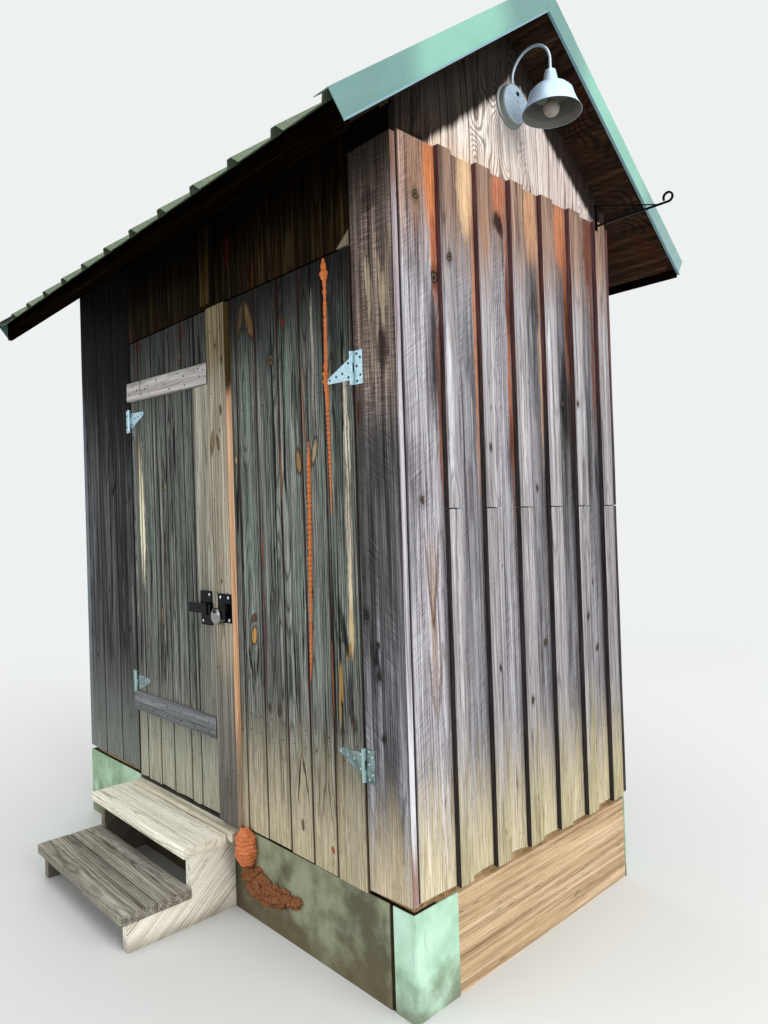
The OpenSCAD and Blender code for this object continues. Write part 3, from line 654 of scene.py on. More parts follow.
def paint_corner(net, colour, g):
    at = wall_at(net)
    brown = net.fit(at[1], 1.7, 2.0)
    colour = net.shade(net.mul(brown, 0.8), colour, (2.2, 1.65, 1.32))
    low = net.fit(at[1], 1.4, 0.9)
    colour = net.shade(low, colour, (1.9, 1.9, 2.05))
    colour = streaks(net, colour, at, g, [
        (1098, 2290, 7, 85, 0xB0A086, 0.9, 2), (1110, 2240, 9, 130, 0xAA9A82, 0.9, -1),
        (1122, 2200, 5, 100, 0x8C7C68, 0.8), (1158, 2250, 8, 110, 0xA4947C, 0.85, 2),
        (1172, 2200, 11, 120, 0xAC9C84, 0.85, -2), (1186, 2250, 6, 100, 0x92826C, 0.8),
        (1114, 2040, 7, 130, 0x8E8478, 0.7), (1140, 1980, 6, 100, 0x786E66, 0.6),
        (1080, 2100, 20, 140, 0x62544A, 0.5), (1160, 2050, 30, 90, 0x221A1A, 0.8),
        (1038, 1860, 10, 55, 0x422416, 0.95), (1130, 1700, 36, 160, 0x222022, 0.5),
        (1098, 1080, 14, 75, 0x181618, 0.85, 8), (1110, 2520, 50, 50, 0x281E1E, 0.6),
        (1060, 1400, 14, 400, 0x787678, 0.4), (1185, 600, 10, 160, 0x464242, 0.6, -12)])
    colour = knots(net, colour, at, [
        (1048, 1219, 14), (1083, 1075, 8), (1103, 1134, 9), (1098, 1028, 11), (1112, 837, 9), (1069, 524, 14),
        (1176, 482, 10),
    ], 0x161313, 0x342E2C)
    return weather_and_eave_shade(net, colour, g, at, (0.34, 0.76), 0xD8C8AA, (2.45, 2.75), 0.35)


def paint_cover(net, colour, g):
    at = wall_at(net)
    olive = net.fit(at[1], 2.0, 2.25)
    colour = net.shade(olive, colour, (0.55, 0.50, 0.36))
    lower = net.fit(at[1], 1.05, 0.85)
    colour = net.shade(lower, colour, (0.72, 0.74, 0.80))
    colour = streaks(net, colour, at, g, [
        (175, 1860, 10, 300, 0xB8B09E, 0.6), (190, 1900, 8, 140, 0x785C3E, 0.7, -4),
        (240, 2250, 6, 130, 0x4A3E28, 0.6), (205, 1400, 8, 400, 0x605042, 0.5), (225, 1450, 10, 240, 0x785E4E, 0.5),
        (165, 1350, 6, 500, 0x46423C, 0.5)])
    colour = lenses(net, colour, at, g, [
        (178, 1850, 12, 50, 0x967A58, 0.7, -10), (222, 1850, 10, 34, 0x74583A, 0.8, 14),
        (250, 1980, 7, 20, 0x503E2C, 0.8)])
    colour = knots(net, colour, at, [(262, 2170, 10), (220, 2240, 6), (240, 1900, 5), (220, 1300, 5)])
    return weather_and_eave_shade(net, colour, g, at, (0.42, 1.0), 0x5C5856, (2.25, 2.6), 0.8)


def paint_stile(net, colour, g):
    ragged = net.fray(net.xyz()[2], g["broad"], 0.5)
    return net.shade(net.fit(ragged, 1.5, 1.05), colour, (0.6, 0.63, 0.68))


def paint_corner_edge(net, colour, g):
    """Brown under the roof, pale below, with rusty rot at the foot."""
    up = net.fray(net.xyz()[2], g["broad"], 0.5)
    colour = net.shade(net.fit(up, 1.85, 2.1), colour, (0.80, 0.72, 0.73))
    colour = net.shade(net.fit(up, 2.45, 2.60), colour, (0.62, 0.42, 0.30))
    pale = net.mul(net.fit(up, 1.1, 0.8), net.fit(up, 0.45, 0.60))
    colour = net.mix(net.mul(pale, 0.6), colour, 0xDEDEE2)
    rot = net.mul(net.fit(up, 0.62, 0.48), net.fit(g["patch"], 0.54, 0.62))
    return net.mix(net.mul(rot, 0.7), colour, net.mix(g["fine"], 0x603E2C, 0xB4704C))


def paint_cover_edge(net, colour, g):
    """Bare orange wood, olive under the roof and grey at the foot."""
    ragged = net.fray(net.xyz()[2], g["patch"], 0.2)
    colour = net.mix(net.mul(net.fit(g["patch"], 0.56, 0.64), 0.4), colour, 0xAA8062)
    colour = net.mix(net.fit(ragged, 2.02, 2.10), colour, net.mix(g["fine"], 0x2C220E, 0x5A4828))
    grey = net.mix(g["fine"], 0x60584E, 0xB0A08A)
    return net.mix(net.mul(net.fit(ragged, 0.80, 0.60), 0.85), colour, grey)


def paint_ledge(net, colour, g):
    at = wall_at(net)
    rows = [
        (-462, 2200, 10, 12, 0x5A544E, 0.8), (-452, 2150, 5, 35, 0x46403A, 0.8, 8),
        (-470, 2175, 4, 50, 0x3C3834, 0.8, -8), (-300, 2120, 50, 10, 0xB4A6A0, 0.6),
        (-50, 2130, 60, 12, 0xB0A098, 0.6)]
    return streaks(net, colour, at, g, rows)


def paint_header(net, colour, g):
    at = wall_at(net)
    across, up = at
    colour = streaks(net, colour, at, g, [
        (289, 2610, 18, 90, 0x4A120A, 0.85), (462, 2460, 10, 70, 0x461E0E, 0.85),
        (-40, 2600, 16, 140, 0x221008, 0.6), (700, 2500, 30, 100, 0x342E1E, 0.6)])
    # Painted light: a pale corner at the right end
    corner = net.fma(net.minus(across, 1.02), -0.75, net.minus(up, 2.405))
    inside = net.mul(net.fit(corner, 0.062, 0.050), net.fit(across, 0.925, 0.945))
    colour = net.mix(inside, colour, net.mix(g["fine"], 0x3C382C, 0x968E78))
    # Painted shade, darker towards the eave
    return net.shade(net.fit(up, 2.50, 2.72), colour, (0.3, 0.24, 0.18))


wood("front_wood", GREY, rings=0.25, paint=paint_left_wall, lines=0.25)
wood("header_wood", SHADED_DARK, rings=0.3, paint=paint_header, spec=0.03)
wood("left_door_wood", DOOR, ring=0.009, rings=0.25, paint=paint_left_door, seam_w=0.005, lines=0.4, swirl=0.07,
     fine=0.45, fibres=0.6)
wood("right_door_wood", DOOR, ring=0.009, rings=0.25, paint=paint_right_door, seam_w=0.006, lines=0.4, swirl=0.07,
     fine=0.45, fibres=0.6, seam_tone=0x2C1210)
wood("gable_wood", SILVER, rings=0.2, fine=0.4, paint=paint_gable, sawn=gable_marks, sawn_by=0.4, span=0.32,
     lines=0.15)
wood("batten_wood", SILVER, rings=0.18, fine=0.4, paint=paint_battens, seam_w=0, span=0.36, lines=0.12)
wood("corner_wood", GREY, rings=0.12, paint=paint_corner, sawn=corner_marks, sawn_by=0.45, seam_w=0.003,
     fibres=0.35, fine=0.2)
wood("corner_edge", LAVENDER, rings=0.2, seam_w=0, lines=0.2, paint=paint_corner_edge)
wood("cover_wood", TAN, ring=0.014, rings=0.3, paint=paint_cover, seam_w=0.002)
wood("cover_edge", EDGE, rings=0.2, paint=paint_cover_edge, seam_w=0, pits=0.2)
wood("stile_wood", TAN, ring=0.014, rings=0.3, paint=paint_stile, seam_w=0.003)
wood("pale_wood", PALE, rings=0.1, paint=paint_ledge, seam_w=0)
wood("tread_wood", TAN, rings=0.3, sawn=saw_marks, seam_w=0)
wood("step_wood", STEP, rings=0.3, sawn=saw_marks, seam_w=0, fine=0.4)


def timber_at(axis):
    """Grain along one axis."""
    def at(net):
        x, y, z = net.xyz()
        return net.join(*((y, z, x) if axis == "x" else (x, z, y) if axis == "y" else (x, y, z)))
    return at


def stringer_at(net):
    """Grain of the step's sides, which slopes down to the front."""
    x, y, z = net.xyz()
    c, s = math.cos(math.radians(39)), math.sin(math.radians(39))
    along = net.fma(y, c, net.mul(z, s))
    return net.join(net.fma(y, -s, net.mul(z, c)), x, along)


def paint_stringer(net, colour, g):
    """The far side of the steps is darker as painted shade, and their feet are darker too."""
    x, _, z = net.xyz()
    far = net.fit(x, 0.10, 0.0)
    low = net.fit(net.fma(g["patch"], 0.08, z), 0.10, 0.03)
    shade_mask = net.math("MAXIMUM", net.mul(far, 0.9), net.mul(low, 0.6))
    return net.shade(shade_mask, colour, (0.16, 0.14, 0.12))


def paint_base(net, colour, g):
    """The front timber is painted in shade where it lies behind the skirt."""
    _, y, _ = net.xyz()
    return net.shade(net.fit(y, -0.50, -0.52), colour, (0.06, 0.05, 0.04))


def base_at(net):
    """Grain along X on the long base timbers, and along Y on the end ones."""
    x, y, z = net.xyz()
    ends = net.math("GREATER_THAN", net.size(x), 1.177)
    along = net.plus(net.mul(y, ends), net.mul(x, net.minus(1.0, ends)))
    return net.join(0.0, z, along)


def ply_at(net):
    """Grain of rotary-cut plywood on a gable, gently bent."""
    x, y, z = net.xyz()
    bend = net.drawn(net.join(y, z, 0.0), (3.0, 1.6, 1.0), 0.0)
    return net.join(net.fray(y, bend, 0.10), x, z)


def under_roof(net):
    """How far a point lies below the roof's underside, measured upright."""
    _, y, z = net.xyz()
    slope = net.mul(net.size(y), -math.tan(PITCH))
    return net.minus(net.plus(slope, RIDGE), z)


def whorls(net, colour, at, pace, dark):
    """Dark contour lines that the peeling blade leaves round knots, on some places of a plywood sheet."""
    flat = net.join(*at, 0.0)
    hill = net.drawn(flat, pace, 1.0, 0.4)
    line = net.math("SINE", net.fma(hill, 150.0, net.mul(net.grit(at), 1.5)))
    place = net.drawn(flat, (4.0, 2.4, 1.0), 1.0)
    amount = net.mul(net.fit(line, -0.1, 0.9), net.fit(place, 0.50, 0.60))
    return net.shade(net.mul(amount, dark), colour, (0.30, 0.25, 0.24))


def paint_panel(net, colour, g):
    _, across, up = net.xyz()
    colour = whorls(net, colour, (across, up), (7.0, 3.0, 1.0), 0.8)
    # Painted shade: a near-black band below the roof's edges, deeper under the left slope
    below = net.fray(under_roof(net), g["broad"], 0.05)
    depth = net.fit(across, -0.1, 0.1, 0.20, 0.12)
    brown = net.fit(net.minus(below, depth), 0.02, -0.02)
    right = net.fit(across, -0.25, 0.35)
    # Painted shade, darker towards the right
    colour = net.shade(right, colour, (0.84, 0.79, 0.81))
    low = net.mul(net.fit(up, 2.84, 2.72), net.fit(across, 0.2, -0.3))
    colour = net.shade(low, colour, 0xFFF0E2)
    return net.shade(brown, colour, (0.035, 0.029, 0.025))


def paint_soffit(net, colour, g):
    """Knots and reddish clouds of the roof boards' underside."""
    x, y, z = net.xyz()
    flat = net.join(x, y, 0.0)
    cloud = net.drawn(flat, (5.0, 3.0, 1.0))
    colour = net.shade(net.fit(cloud, 0.52, 0.66), colour, (1.5, 0.8, 0.7))
    colour = whorls(net, colour, (x, y), (2.0, 5.0, 1.0), 0.8)
    dots = net.cells(net.vec("MULTIPLY", flat, (2.2, 3.6, 1.0)), 1.0)["Distance"]
    return net.mix(net.fit(dots, 0.09, 0.05), colour, 0x060302)


for axis in "xyz":
    wood("framing_" + axis, SAWN, grain_at=timber_at(axis))
wood("base_wood", BASE, grain_at=base_at, rings=0.1, paint=paint_base)
wood("panel_ply", PLY, grain_at=ply_at, rings=0.0, paint=paint_panel, span=0.24, fine=0.5, fibres=0.7, lines=0.3)
wood("roof_ply", SOFFIT, grain_at=timber_at("x"), ring=0.012, swirl=0.10, rings=0.12, paint=paint_soffit)
wood("fascia_wood", FASCIA, grain_at=timber_at("x"), spec=0.0)
wood("purlin_wood", SOFFIT, grain_at=timber_at("x"))
wood("stringer_wood", NEW, grain_at=stringer_at, rings=0.3, paint=paint_stringer)
wood("sill_wood", SILL, grain_at=timber_at("x"), rings=0.2)


def metal_paint(name, tone, rough=0.38, grime=0.1, trim=False, spec=0.5):
    """Painted sheet with cloudy dust. A trim has a painted reflection, light at mid slope, and a bluish folded edge."""
    net = Net(name, rough, 0.0, spec)
    at = net.place()
    cloud = net.noise(at, 3.0, 4.0)
    dust = net.noise(at, 45.0, 3.0)
    colour = net.mix(net.fit(cloud, 0.3, 0.7), scaled(tone, 0.9), scaled(tone, 1.1))
    if trim:
        along = net.fray(net.size(net.split(at)[1]), cloud, 0.1)
        painted_reflection = net.mul(net.fit(along, 0.16, 0.34), net.fit(along, 0.74, 0.60))
        colour = net.mix(painted_reflection, net.times(colour, (0.56, 0.54, 0.62)), colour)
    colour = net.mix(net.mul(net.fit(dust, 0.55, 0.75), grime), colour, 0x96968A)
    if trim:
        colour = net.mix(net.fit(under_roof(net), -0.001, 0.001), colour, 0x7698A4)
    net.coat(colour, dust, (rough * 0.8, min(rough * 1.5, 1.0)), cloud, 0.15, 0.002)


metal_paint("roof_metal", 0x5C6A56, 0.7, grime=0.5, spec=0.2)
metal_paint("trim_metal", 0x76AA9A, trim=True)


def zinc(name, tone, rough, metal, low=None, inside=None, plate=None):
    """Galvanised steel; low is its tone near the ground, with a painted highlight on the hinges' knuckles there, inside
    the painted shade of the lamp shade's hollow side, and plate that of the lamp base's rim and side."""
    net = Net(name, rough, metal, 0.5)
    at = net.place()
    flake = net.split(net.cells(at, 140.0)["Color"])[0]
    cloud = net.noise(at, 30.0, 4.0)
    colour = net.mix(flake, scaled(tone, 0.78), tone)
    if low:
        near_ground = net.fit(net.split(at)[2], 1.5, 1.3)
        dull = net.mix(net.fit(cloud, 0.35, 0.65), scaled(low, 0.7), scaled(low, 1.5))
        # Painted highlight along the knuckles of the lower hinges
        knuckle_highlight = net.fit(net.split(at)[1], FRONT - 0.007, FRONT - 0.009)
        dull = net.mix(knuckle_highlight, dull, scaled(low, 2.2))
        colour = net.mix(near_ground, colour, dull)
    if inside:
        # Painted shade on the lamp shade's inner side
        from_axis = net.vec("MULTIPLY", net.vec("SUBTRACT", at, tuple(LAMP)), (1, 1, 0))
        facing = net.vec("DOT_PRODUCT", from_axis, net.add("TexCoord")["Normal"])
        colour = net.mix(net.fit(facing, 0.0, -0.01), colour, inside)
    if plate:
        colour = net.mix(net.fit(net.split(at)[0], PANEL_X + 0.029, PANEL_X + 0.026), colour, plate)
    colour = net.mix(net.fit(cloud, 0.72, 0.86), colour, 0x70543E)
    net.coat(colour, cloud, (rough * 0.75, rough * 1.4), cloud, 0.12, 0.0006)


zinc("zinc", 0xA6C4D0, 0.42, 0.6, low=0x6C8080)
zinc("lamp_zinc", 0xBACEDE, 0.45, 0.35)
zinc("lamp_plate", 0xB8CEE0, 0.45, 0.35, plate=0x868E8C)
zinc("shade_zinc", 0xBCD4EA, 0.45, 0.3, inside=0x62645E)
zinc("lock_steel", 0x969694, 0.22, 1.0)
zinc("screw", 0xC4C8CC, 0.3, 0.9)


def plain(name, tone, rough, scale=60.0, spread=0.25, bump=0.2, spec=0.3):
    """A material of one tone with cloudy variation and a fine surface."""
    net = Net(name, rough, 0.0, spec)
    cloud = net.noise(net.place(), scale, 4.0)
    colour = net.mix(cloud, scaled(tone, 1 - spread), scaled(tone, 1 + spread))
    net.coat(colour, cloud, (rough * 0.85, min(rough * 1.2, 1)), cloud, bump, 0.0006)


def skirt_paint():
    """Faded mint paint, dirty under the right door and clean on the corner piece, with painted shade behind the steps.
    """
    net = Net("skirt", 0.7, 0.0, 0.2)
    x, y, z = net.xyz()
    cloud = net.noise(net.place(), 7.0, 5.0)
    drip = net.drawn(net.place(), (30, 30, 5))
    colour = net.mix(net.fit(cloud, 0.3, 0.7), 0x7C967A, 0xB0D0B4)
    corner = net.math("GREATER_THAN", x, SIDE - 0.0905)
    soiled = net.mul(net.fit(x, -0.3, 0.25), net.minus(1.0, corner))
    soiled = net.mul(soiled, net.fit(y, -0.60, -0.62))
    mud = net.mix(net.fit(cloud, 0.35, 0.65), 0x4C402C, 0x86846A)
    colour = net.mix(net.mul(soiled, 0.85), colour, mud)
    colour = net.mix(corner, colour, net.mix(net.fit(cloud, 0.3, 0.7), 0xA0C8AE, 0xC2E4CE))
    # Painted shade behind the steps and in the gap under the doors
    steps = net.mul(net.fit(x, -0.64, -0.60), net.fit(x, 0.30, 0.20))
    steps = net.mul(steps, net.fit(y, -0.60, -0.62))
    colour = net.mix(steps, colour, net.mix(net.fit(cloud, 0.35, 0.65), 0x161410, 0x343228))
    low = net.fit(net.fray(z, cloud, 0.4), 0.16, 0.0)
    colour = net.mix(net.mul(low, 0.7), colour, 0x60543E)
    colour = net.mix(net.mul(net.fit(drip, 0.62, 0.74), 0.5), colour, 0x3E3A2C)
    net.coat(colour, cloud, (0.6, 0.85), cloud, 0.3, 0.002)


plain("black_iron", 0x040507, 0.14, scale=25.0, spec=0.06)
plain("nail", 0x181514, 0.6, spec=0.1)
plain("bulb_glass", 0x969086, 0.3, scale=12.0, spread=0.1, bump=0.0)
plain("foam", 0xC47448, 0.8, scale=90.0, spread=0.5, bump=0.9)
plain("foam_bright", 0xBC6832, 0.6, scale=110.0, spread=0.4, bump=0.7)
plain("foam_old", 0x7C4E2E, 0.85, scale=70.0, spread=0.6, bump=0.9)
skirt_paint()

# CAD nodes kept as they are, by material
KEPT = {
    "base_wood": "foundation_frame",
    "skirt": "skirt_panels",
    "framing_x": "floor_deck wall_plates ridge_board right_door_ledges",
    "framing_z": "wall_frame",
    "framing_y": "rafters",
    "panel_ply": "gable_panels",
    "roof_ply": "roof_deck",
    "purlin_wood": "roof_purlins",
    "roof_metal": "roof_sheets",
    "trim_metal": "ridge_cap rake_trims",
    "fascia_wood": "eave_fascias",
    "stringer_wood": "step_stringers",
    "sill_wood": "door_sill",
    "zinc": "left_door_straps right_door_straps hinge_leaves",
    "black_iron": "latch_bolt latch_plate latch_keeper hanger_bracket",
    "lock_steel": "padlock",
    "lamp_plate": "lamp_base",
    "lamp_zinc": "lamp_arm",
    "shade_zinc": "lamp_shade",
    "bulb_glass": "lamp_bulb",
}
for key, kept in KEPT.items():
    for node in kept.split():
        slots = NODES[node].data.materials
        slots.clear()
        slots.append(MAT[key])

# Front wall


def upright(bm, x, z, width, length, thick, seed, proud=0.0, **form):
    """A board on the front wall: x and z are its lower left corner, proud is how far it stands out."""
    board(bm, Vector((x, FRONT - proud, z)), X, Z, Y, width, length, thick, seed, **form)


def front_left():
    bm = new_mesh()
    edges = (-1.220, -1.011, -0.814, -0.622)
    shades = ((1.25, 1.28, 1.3), (0.95,) * 3, (0.85,) * 3)
    for i, (a, b, shade) in enumerate(zip(edges, edges[1:], shades)):
        upright(bm, a, WALL_LOW, b - a - 0.003, WALL_HIGH - WALL_LOW, BOARD, 100 + i, tint=shade,
                foot=uneven(i, 0.004), vary=0.03)
    piece("front_left_boards", bm, ["front_wood"], replaces=["front_wall_left"])


CORNER_X, CORNER_WIDE, CORNER_HIGH = 1.025, 0.195, 2.703


def header():
    """Short boards over the doors, the end board over the corner board, and a batten."""
    bm = new_mesh()
    edges = (-0.621, -0.535, -0.400, -0.265, -0.175, -0.081, 0.143, 0.224, 0.311, 0.394, 0.475, 0.560, 0.650,
             0.749, 0.821, 0.892, 0.953, 1.024)
    low = HEAD + 0.004
    for i, (a, b) in enumerate(zip(edges, edges[1:])):
        upright(bm, a, low, b - a - 0.003, WALL_HIGH - low, BOARD, 20 + i,
                tint=(1.25, 1.2, 1.0) if i > 8 else (1, 1, 0.9), vary=0.25)
    low = CORNER_HIGH + 0.001
    upright(bm, CORNER_X, low, CORNER_WIDE, WALL_HIGH - low, BOARD, 5)
    upright(bm, 0.103, HEAD + 0.01, 0.080, 0.322, BATTEN, 6, BATTEN, tint=(2.6, 2.4, 1.8), vary=0)
    piece("header_boards", bm, ["header_wood"], replaces=["front_wall_header"])


def corner_board():
    bm = new_mesh()
    upright(bm, CORNER_X, WALL_LOW, CORNER_WIDE, CORNER_HIGH - WALL_LOW, BOARD, 31, tint=(1.12, 1.08, 1.08),
            foot=[(0, -0.008), (1, 0.0)], cols=8, vary=0, side=1)
    piece("corner_board", bm, ["corner_wood", "corner_edge"], replaces=["front_corner_board"])


front_left()
header()
corner_board()

# Doors


def ring_of(bm, at, side, out, radius, count):
    """Vertices on a circle in the plane of side and out."""
    angles = (2 * math.pi * i / count for i in range(count))
    return [bm.verts.new(at + (side * math.cos(a) + out * math.sin(a)) * radius) for a in angles]


def skin(bm, rings):
    """Faces between rings of vertices that follow one another."""
    count = len(rings[0])
    for low, high in zip(rings, rings[1:]):
        for i in range(count):
            k = (i + 1) % count
            bm.faces.new((low[i], low[k], high[k], high[i]))


def heads(name, places, key, body, radius, rise=0.0012, out=-Y):
    """Flat-topped heads of screws or nails, standing off a face along out."""
    bm = new_mesh()
    side = out.orthogonal().normalized()
    for place in places:
        at = Vector(place)
        rings = [ring_of(bm, at + out * h, side, out.cross(side), r, 10)
                 for r, h in ((radius, -rise), (radius, rise * 0.5), (radius * 0.7, rise))]
        skin(bm, rings)
        bm.faces.new(rings[-1])
    piece(name, bm, [key], body)


def leaf(body, edges, rise, seed):
    """The boards of one door; rise gives their lower ends' heights, or else these are ragged."""
    bm = new_mesh()
    last = len(edges) - 2
    for i, (a, b) in enumerate(zip(edges, edges[1:])):
        ends = [(0, rise[i]), (1, rise[i])] if rise else uneven(i + seed, 0.005)
        upright(bm, a, 0.335, b - a - (0.002 if i < last else 0), 2.070, BOARD, seed + i, edge=0.003, foot=ends,
                cols=6, vary=0.16)
    piece(body + "_planks", bm, [body + "_wood"], body, [body + "_boards"])


# Thicknesses of the boards that lie on the doors
LEDGE = 0.022
STILE = 0.012
COVER = 0.025


def trims():
    """The cover board over the doors' joint, and the stile and ledges of the left door."""
    bm = new_mesh()
    upright(bm, 0.150, 0.338, 0.140, 2.059, COVER, 401, COVER, cols=6, vary=0, side=1)
    piece("cover_board", bm, ["cover_wood", "cover_edge"], "right_door", ["door_cover_board"])
    bm = new_mesh()
    upright(bm, 0.008, 0.737, 0.135, 1.361, STILE, 402, STILE, cols=6, vary=0, tint=(1.05, 1.12, 1.16))
    piece("door_stile", bm, ["stile_wood"], "left_door", ["left_door_stile"])
    bm = new_mesh()
    for left, right, shade in ((0.650, 0.650, (0.41, 0.44, 0.48)), (2.126, 2.100, (1.02, 1.0, 1.0))):
        start = Vector((-0.612, FRONT - LEDGE, left))
        run = Vector((0.138, FRONT - LEDGE, right)) - start
        along = run.normalized()
        board(bm, start, along.cross(Y), along, Y, 0.085, run.length, LEDGE, 410 + int(left * 10), tint=shade, vary=0)
    piece("door_ledges", bm, ["pale_wood"], "left_door", ["left_door_ledges"])


leaf("left_door", (-0.616, -0.528, -0.394, -0.265, -0.108, -0.025, 0.143), None, 200)
leaf("right_door", (0.150, 0.332, 0.465, 0.609, 0.741, 0.870, 1.019), (0.0, 0.002, 0.004, -0.001, -0.004, -0.008), 300)
trims()

# Nails and screws

# Across, and above the ledge's lower edge, which falls 26 mm on its way to the right
LEDGE_NAILS = ((-0.585, 0.030), (-0.545, 0.062), (-0.50, 0.045), (-0.47, 0.020), (-0.415, 0.040), (-0.385, 0.052),
               (-0.375, 0.014), (-0.30, 0.068), (-0.245, 0.050), (-0.225, 0.040), (-0.18, 0.014), (-0.10, 0.070),
               (-0.05, 0.052), (-0.04, 0.014), (0.075, 0.066), (0.085, 0.034), (0.115, 0.058))
# Away from the hinge's pin, and up
LEAF_SCREWS = ((0.020, 0.044), (0.036, 0.030), (0.020, 0.004), (0.036, -0.026), (0.020, -0.044))
STRAP_SCREWS = ((0.022, 0.024), (0.022, -0.022), (0.052, 0.0), (0.084, 0.0), (0.118, 0.0))
LATCH_Z = 1.180


def grid(xs, zs, proud=0.0, gap=0.0):
    """Places at every height and every x, or pairs of places with a gap to both sides of x."""
    return [(x + dx, FRONT - proud, z) for z in zs for x in xs for dx in ((-gap, gap) if gap else (0.0,))]


def door_nails():
    upper = [(x, FRONT - LEDGE, 2.126 - 0.026 * (x + 0.612) / 0.75 + up) for x, up in LEDGE_NAILS]
    lower = [(x, FRONT - LEDGE, 0.65 + up) for x in (-0.55, -0.42, -0.28, -0.16, -0.04, 0.08) for up in (0.022, 0.062)]
    heads("ledge_nails", upper + lower, "nail", "left_door", 0.0042)
    heads("cover_nails", grid((0.18, 0.262), (2.30, 2.05, 1.62, 1.25, 0.95, 0.55), COVER), "nail", "right_door", 0.0032)
    heads("left_door_nails", grid((-0.46, -0.33, -0.19, -0.07), (1.90, 1.45, 0.55), gap=0.03), "nail", "left_door",
          0.0028)
    heads("right_door_nails", grid((0.40, 0.54, 0.675, 0.805, 0.95), (2.02, 1.96, 0.79, 0.73), gap=0.035), "nail",
          "right_door", 0.0028)


def hinge_screws(tag, pin, sign, level, z, tilt, key):
    """Screws of one hinge, set out from its pin: tilt is the strap's rise over 140 mm."""
    leaves = [(pin - sign * dx, FRONT - 0.0025, z + dz) for dx, dz in LEAF_SCREWS]
    straps = [(pin + sign * dx, FRONT - 0.0025, z + dz + tilt * dx / 0.14) for dx, dz in STRAP_SCREWS]
    heads(tag + "_leaf_screws_" + level, leaves, key, "shed", 0.0042)
    heads(tag + "_strap_screws_" + level, straps, key, tag + "_door", 0.0042)


def latch_screws():
    plate = ((0.104, 0.055), (0.050, -0.055))
    keeper = ((0.212, 0.052), (0.270, 0.052), (0.232, -0.036), (0.274, -0.036))
    heads("plate_screws", [(x, FRONT - 0.016, LATCH_Z + dz) for x, dz in plate], "screw", "left_door", 0.006, 0.002)
    heads("keeper_screws", [(x, FRONT - 0.029, LATCH_Z + dz) for x, dz in keeper], "screw", "right_door", 0.0065, 0.002)


def lamp_details():
    """Light sensor and screw in the cover of the lamp's base."""
    heads("light_sensor", [(PANEL_X + 0.025, 0.012, LAMP.z + 0.040)], "black_iron", "shed", 0.0085, 0.007, X)
    heads("cover_screw", [(PANEL_X + 0.025, 0.008, LAMP.z + 0.012)], "nail", "shed", 0.0028, 0.006, X)


door_nails()
# The lower hinges have bright screws
hinge_screws("left", -0.620, 1, "low", 0.774, 0.022, "screw")
hinge_screws("left", -0.620, 1, "high", 2.035, 0.022, "nail")
hinge_screws("right", 1.023, -1, "low", 0.740, 0.024, "screw")
hinge_screws("right", 1.023, -1, "high", 2.010, -0.024, "nail")
latch_screws()
lamp_details()

# Foam squeezed out of the seams

# (across, up, radius) along each string of foam, with its unevenness and the pitch of its twist
BRIGHT_FOAM = (
    (((0.888, 2.402, 0.004), (0.890, 2.380, 0.011), (0.892, 2.345, 0.014), (0.892, 2.315, 0.0064),
      (0.889, 2.06, 0.0064)), 0.6, 0.0),
    (((0.888, 2.06, 0.0064), (0.884, 1.990, 0.0125), (0.889, 1.955, 0.0080), (0.889, 1.90, 0.0060)), 0.6, 0.0),
    (((0.889, 1.90, 0.006), (0.892, 1.70, 0.0050), (0.893, 1.545, 0.0018)), 0.35, 0.016),
    (((0.776, 1.80, 0.002), (0.778, 1.733, 0.0080), (0.769, 1.389, 0.0082), (0.757, 1.05, 0.0052),
      (0.750, 0.97, 0.0018)), 0.35, 0.018),
)
OLD_FOAM = (
    (((0.748, 2.08, 0.001), (0.754, 1.95, 0.0025), (0.758, 1.80, 0.0025)), 0.35, 0.0),
    (((0.612, 1.78, 0.001), (0.611, 1.70, 0.004), (0.610, 1.60, 0.001)), 0.35, 0.0),
    (((0.872, 1.12, 0.001), (0.872, 1.0, 0.003), (0.873, 0.86, 0.001)), 0.35, 0.0),
)
# (across, up, radius) of the lumps that ran down the skirt
TRAIL = ((0.335, 0.190, 0.026), (0.352, 0.165, 0.034), (0.392, 0.152, 0.030), (0.430, 0.150, 0.030),
         (0.470, 0.146, 0.028), (0.512, 0.150, 0.026), (0.552, 0.152, 0.024), (0.592, 0.156, 0.020),
         (0.630, 0.160, 0.017), (0.375, 0.122, 0.026), (0.425, 0.116, 0.024), (0.478, 0.118, 0.022),
         (0.530, 0.122, 0.018))


def bead(bm, path, rough, pitch, seed):
    """A lumpy string of foam along a path; pitch makes it look like twisted rope."""
    points = []
    path = [(Vector((x, FRONT - 0.0005, z)), r) for x, z, r in path]
    for (a, ra), (b, rb) in zip(path, path[1:]):
        count = max(1, round((b - a).length / 0.004))
        points += [(a.lerp(b, i / count), ra + (rb - ra) * i / count) for i in range(count)]
    points.append(path[-1])
    rings = []
    for k, (at, r) in enumerate(points):
        along = (points[min(k + 1, len(points) - 1)][0] - points[max(k - 1, 0)][0]).normalized()
        side = along.cross(Y).normalized()
        swell = 1 + rough * noise.noise(Vector((at.z * 90, at.x * 90, seed)))
        if pitch:
            swell *= 0.55 + 0.6 * abs(math.sin(math.pi * at.z / pitch))
        rings.append(ring_of(bm, at, side, side.cross(along), r * swell, 8))
    skin(bm, rings)
    bm.faces.new(rings[0][::-1])
    bm.faces.new(rings[-1])


def beads(name, key, rows, seed):
    bm = new_mesh()
    for i, row in enumerate(rows):
        bead(bm, *row, seed + i)
    piece(name, bm, [key], "right_door")


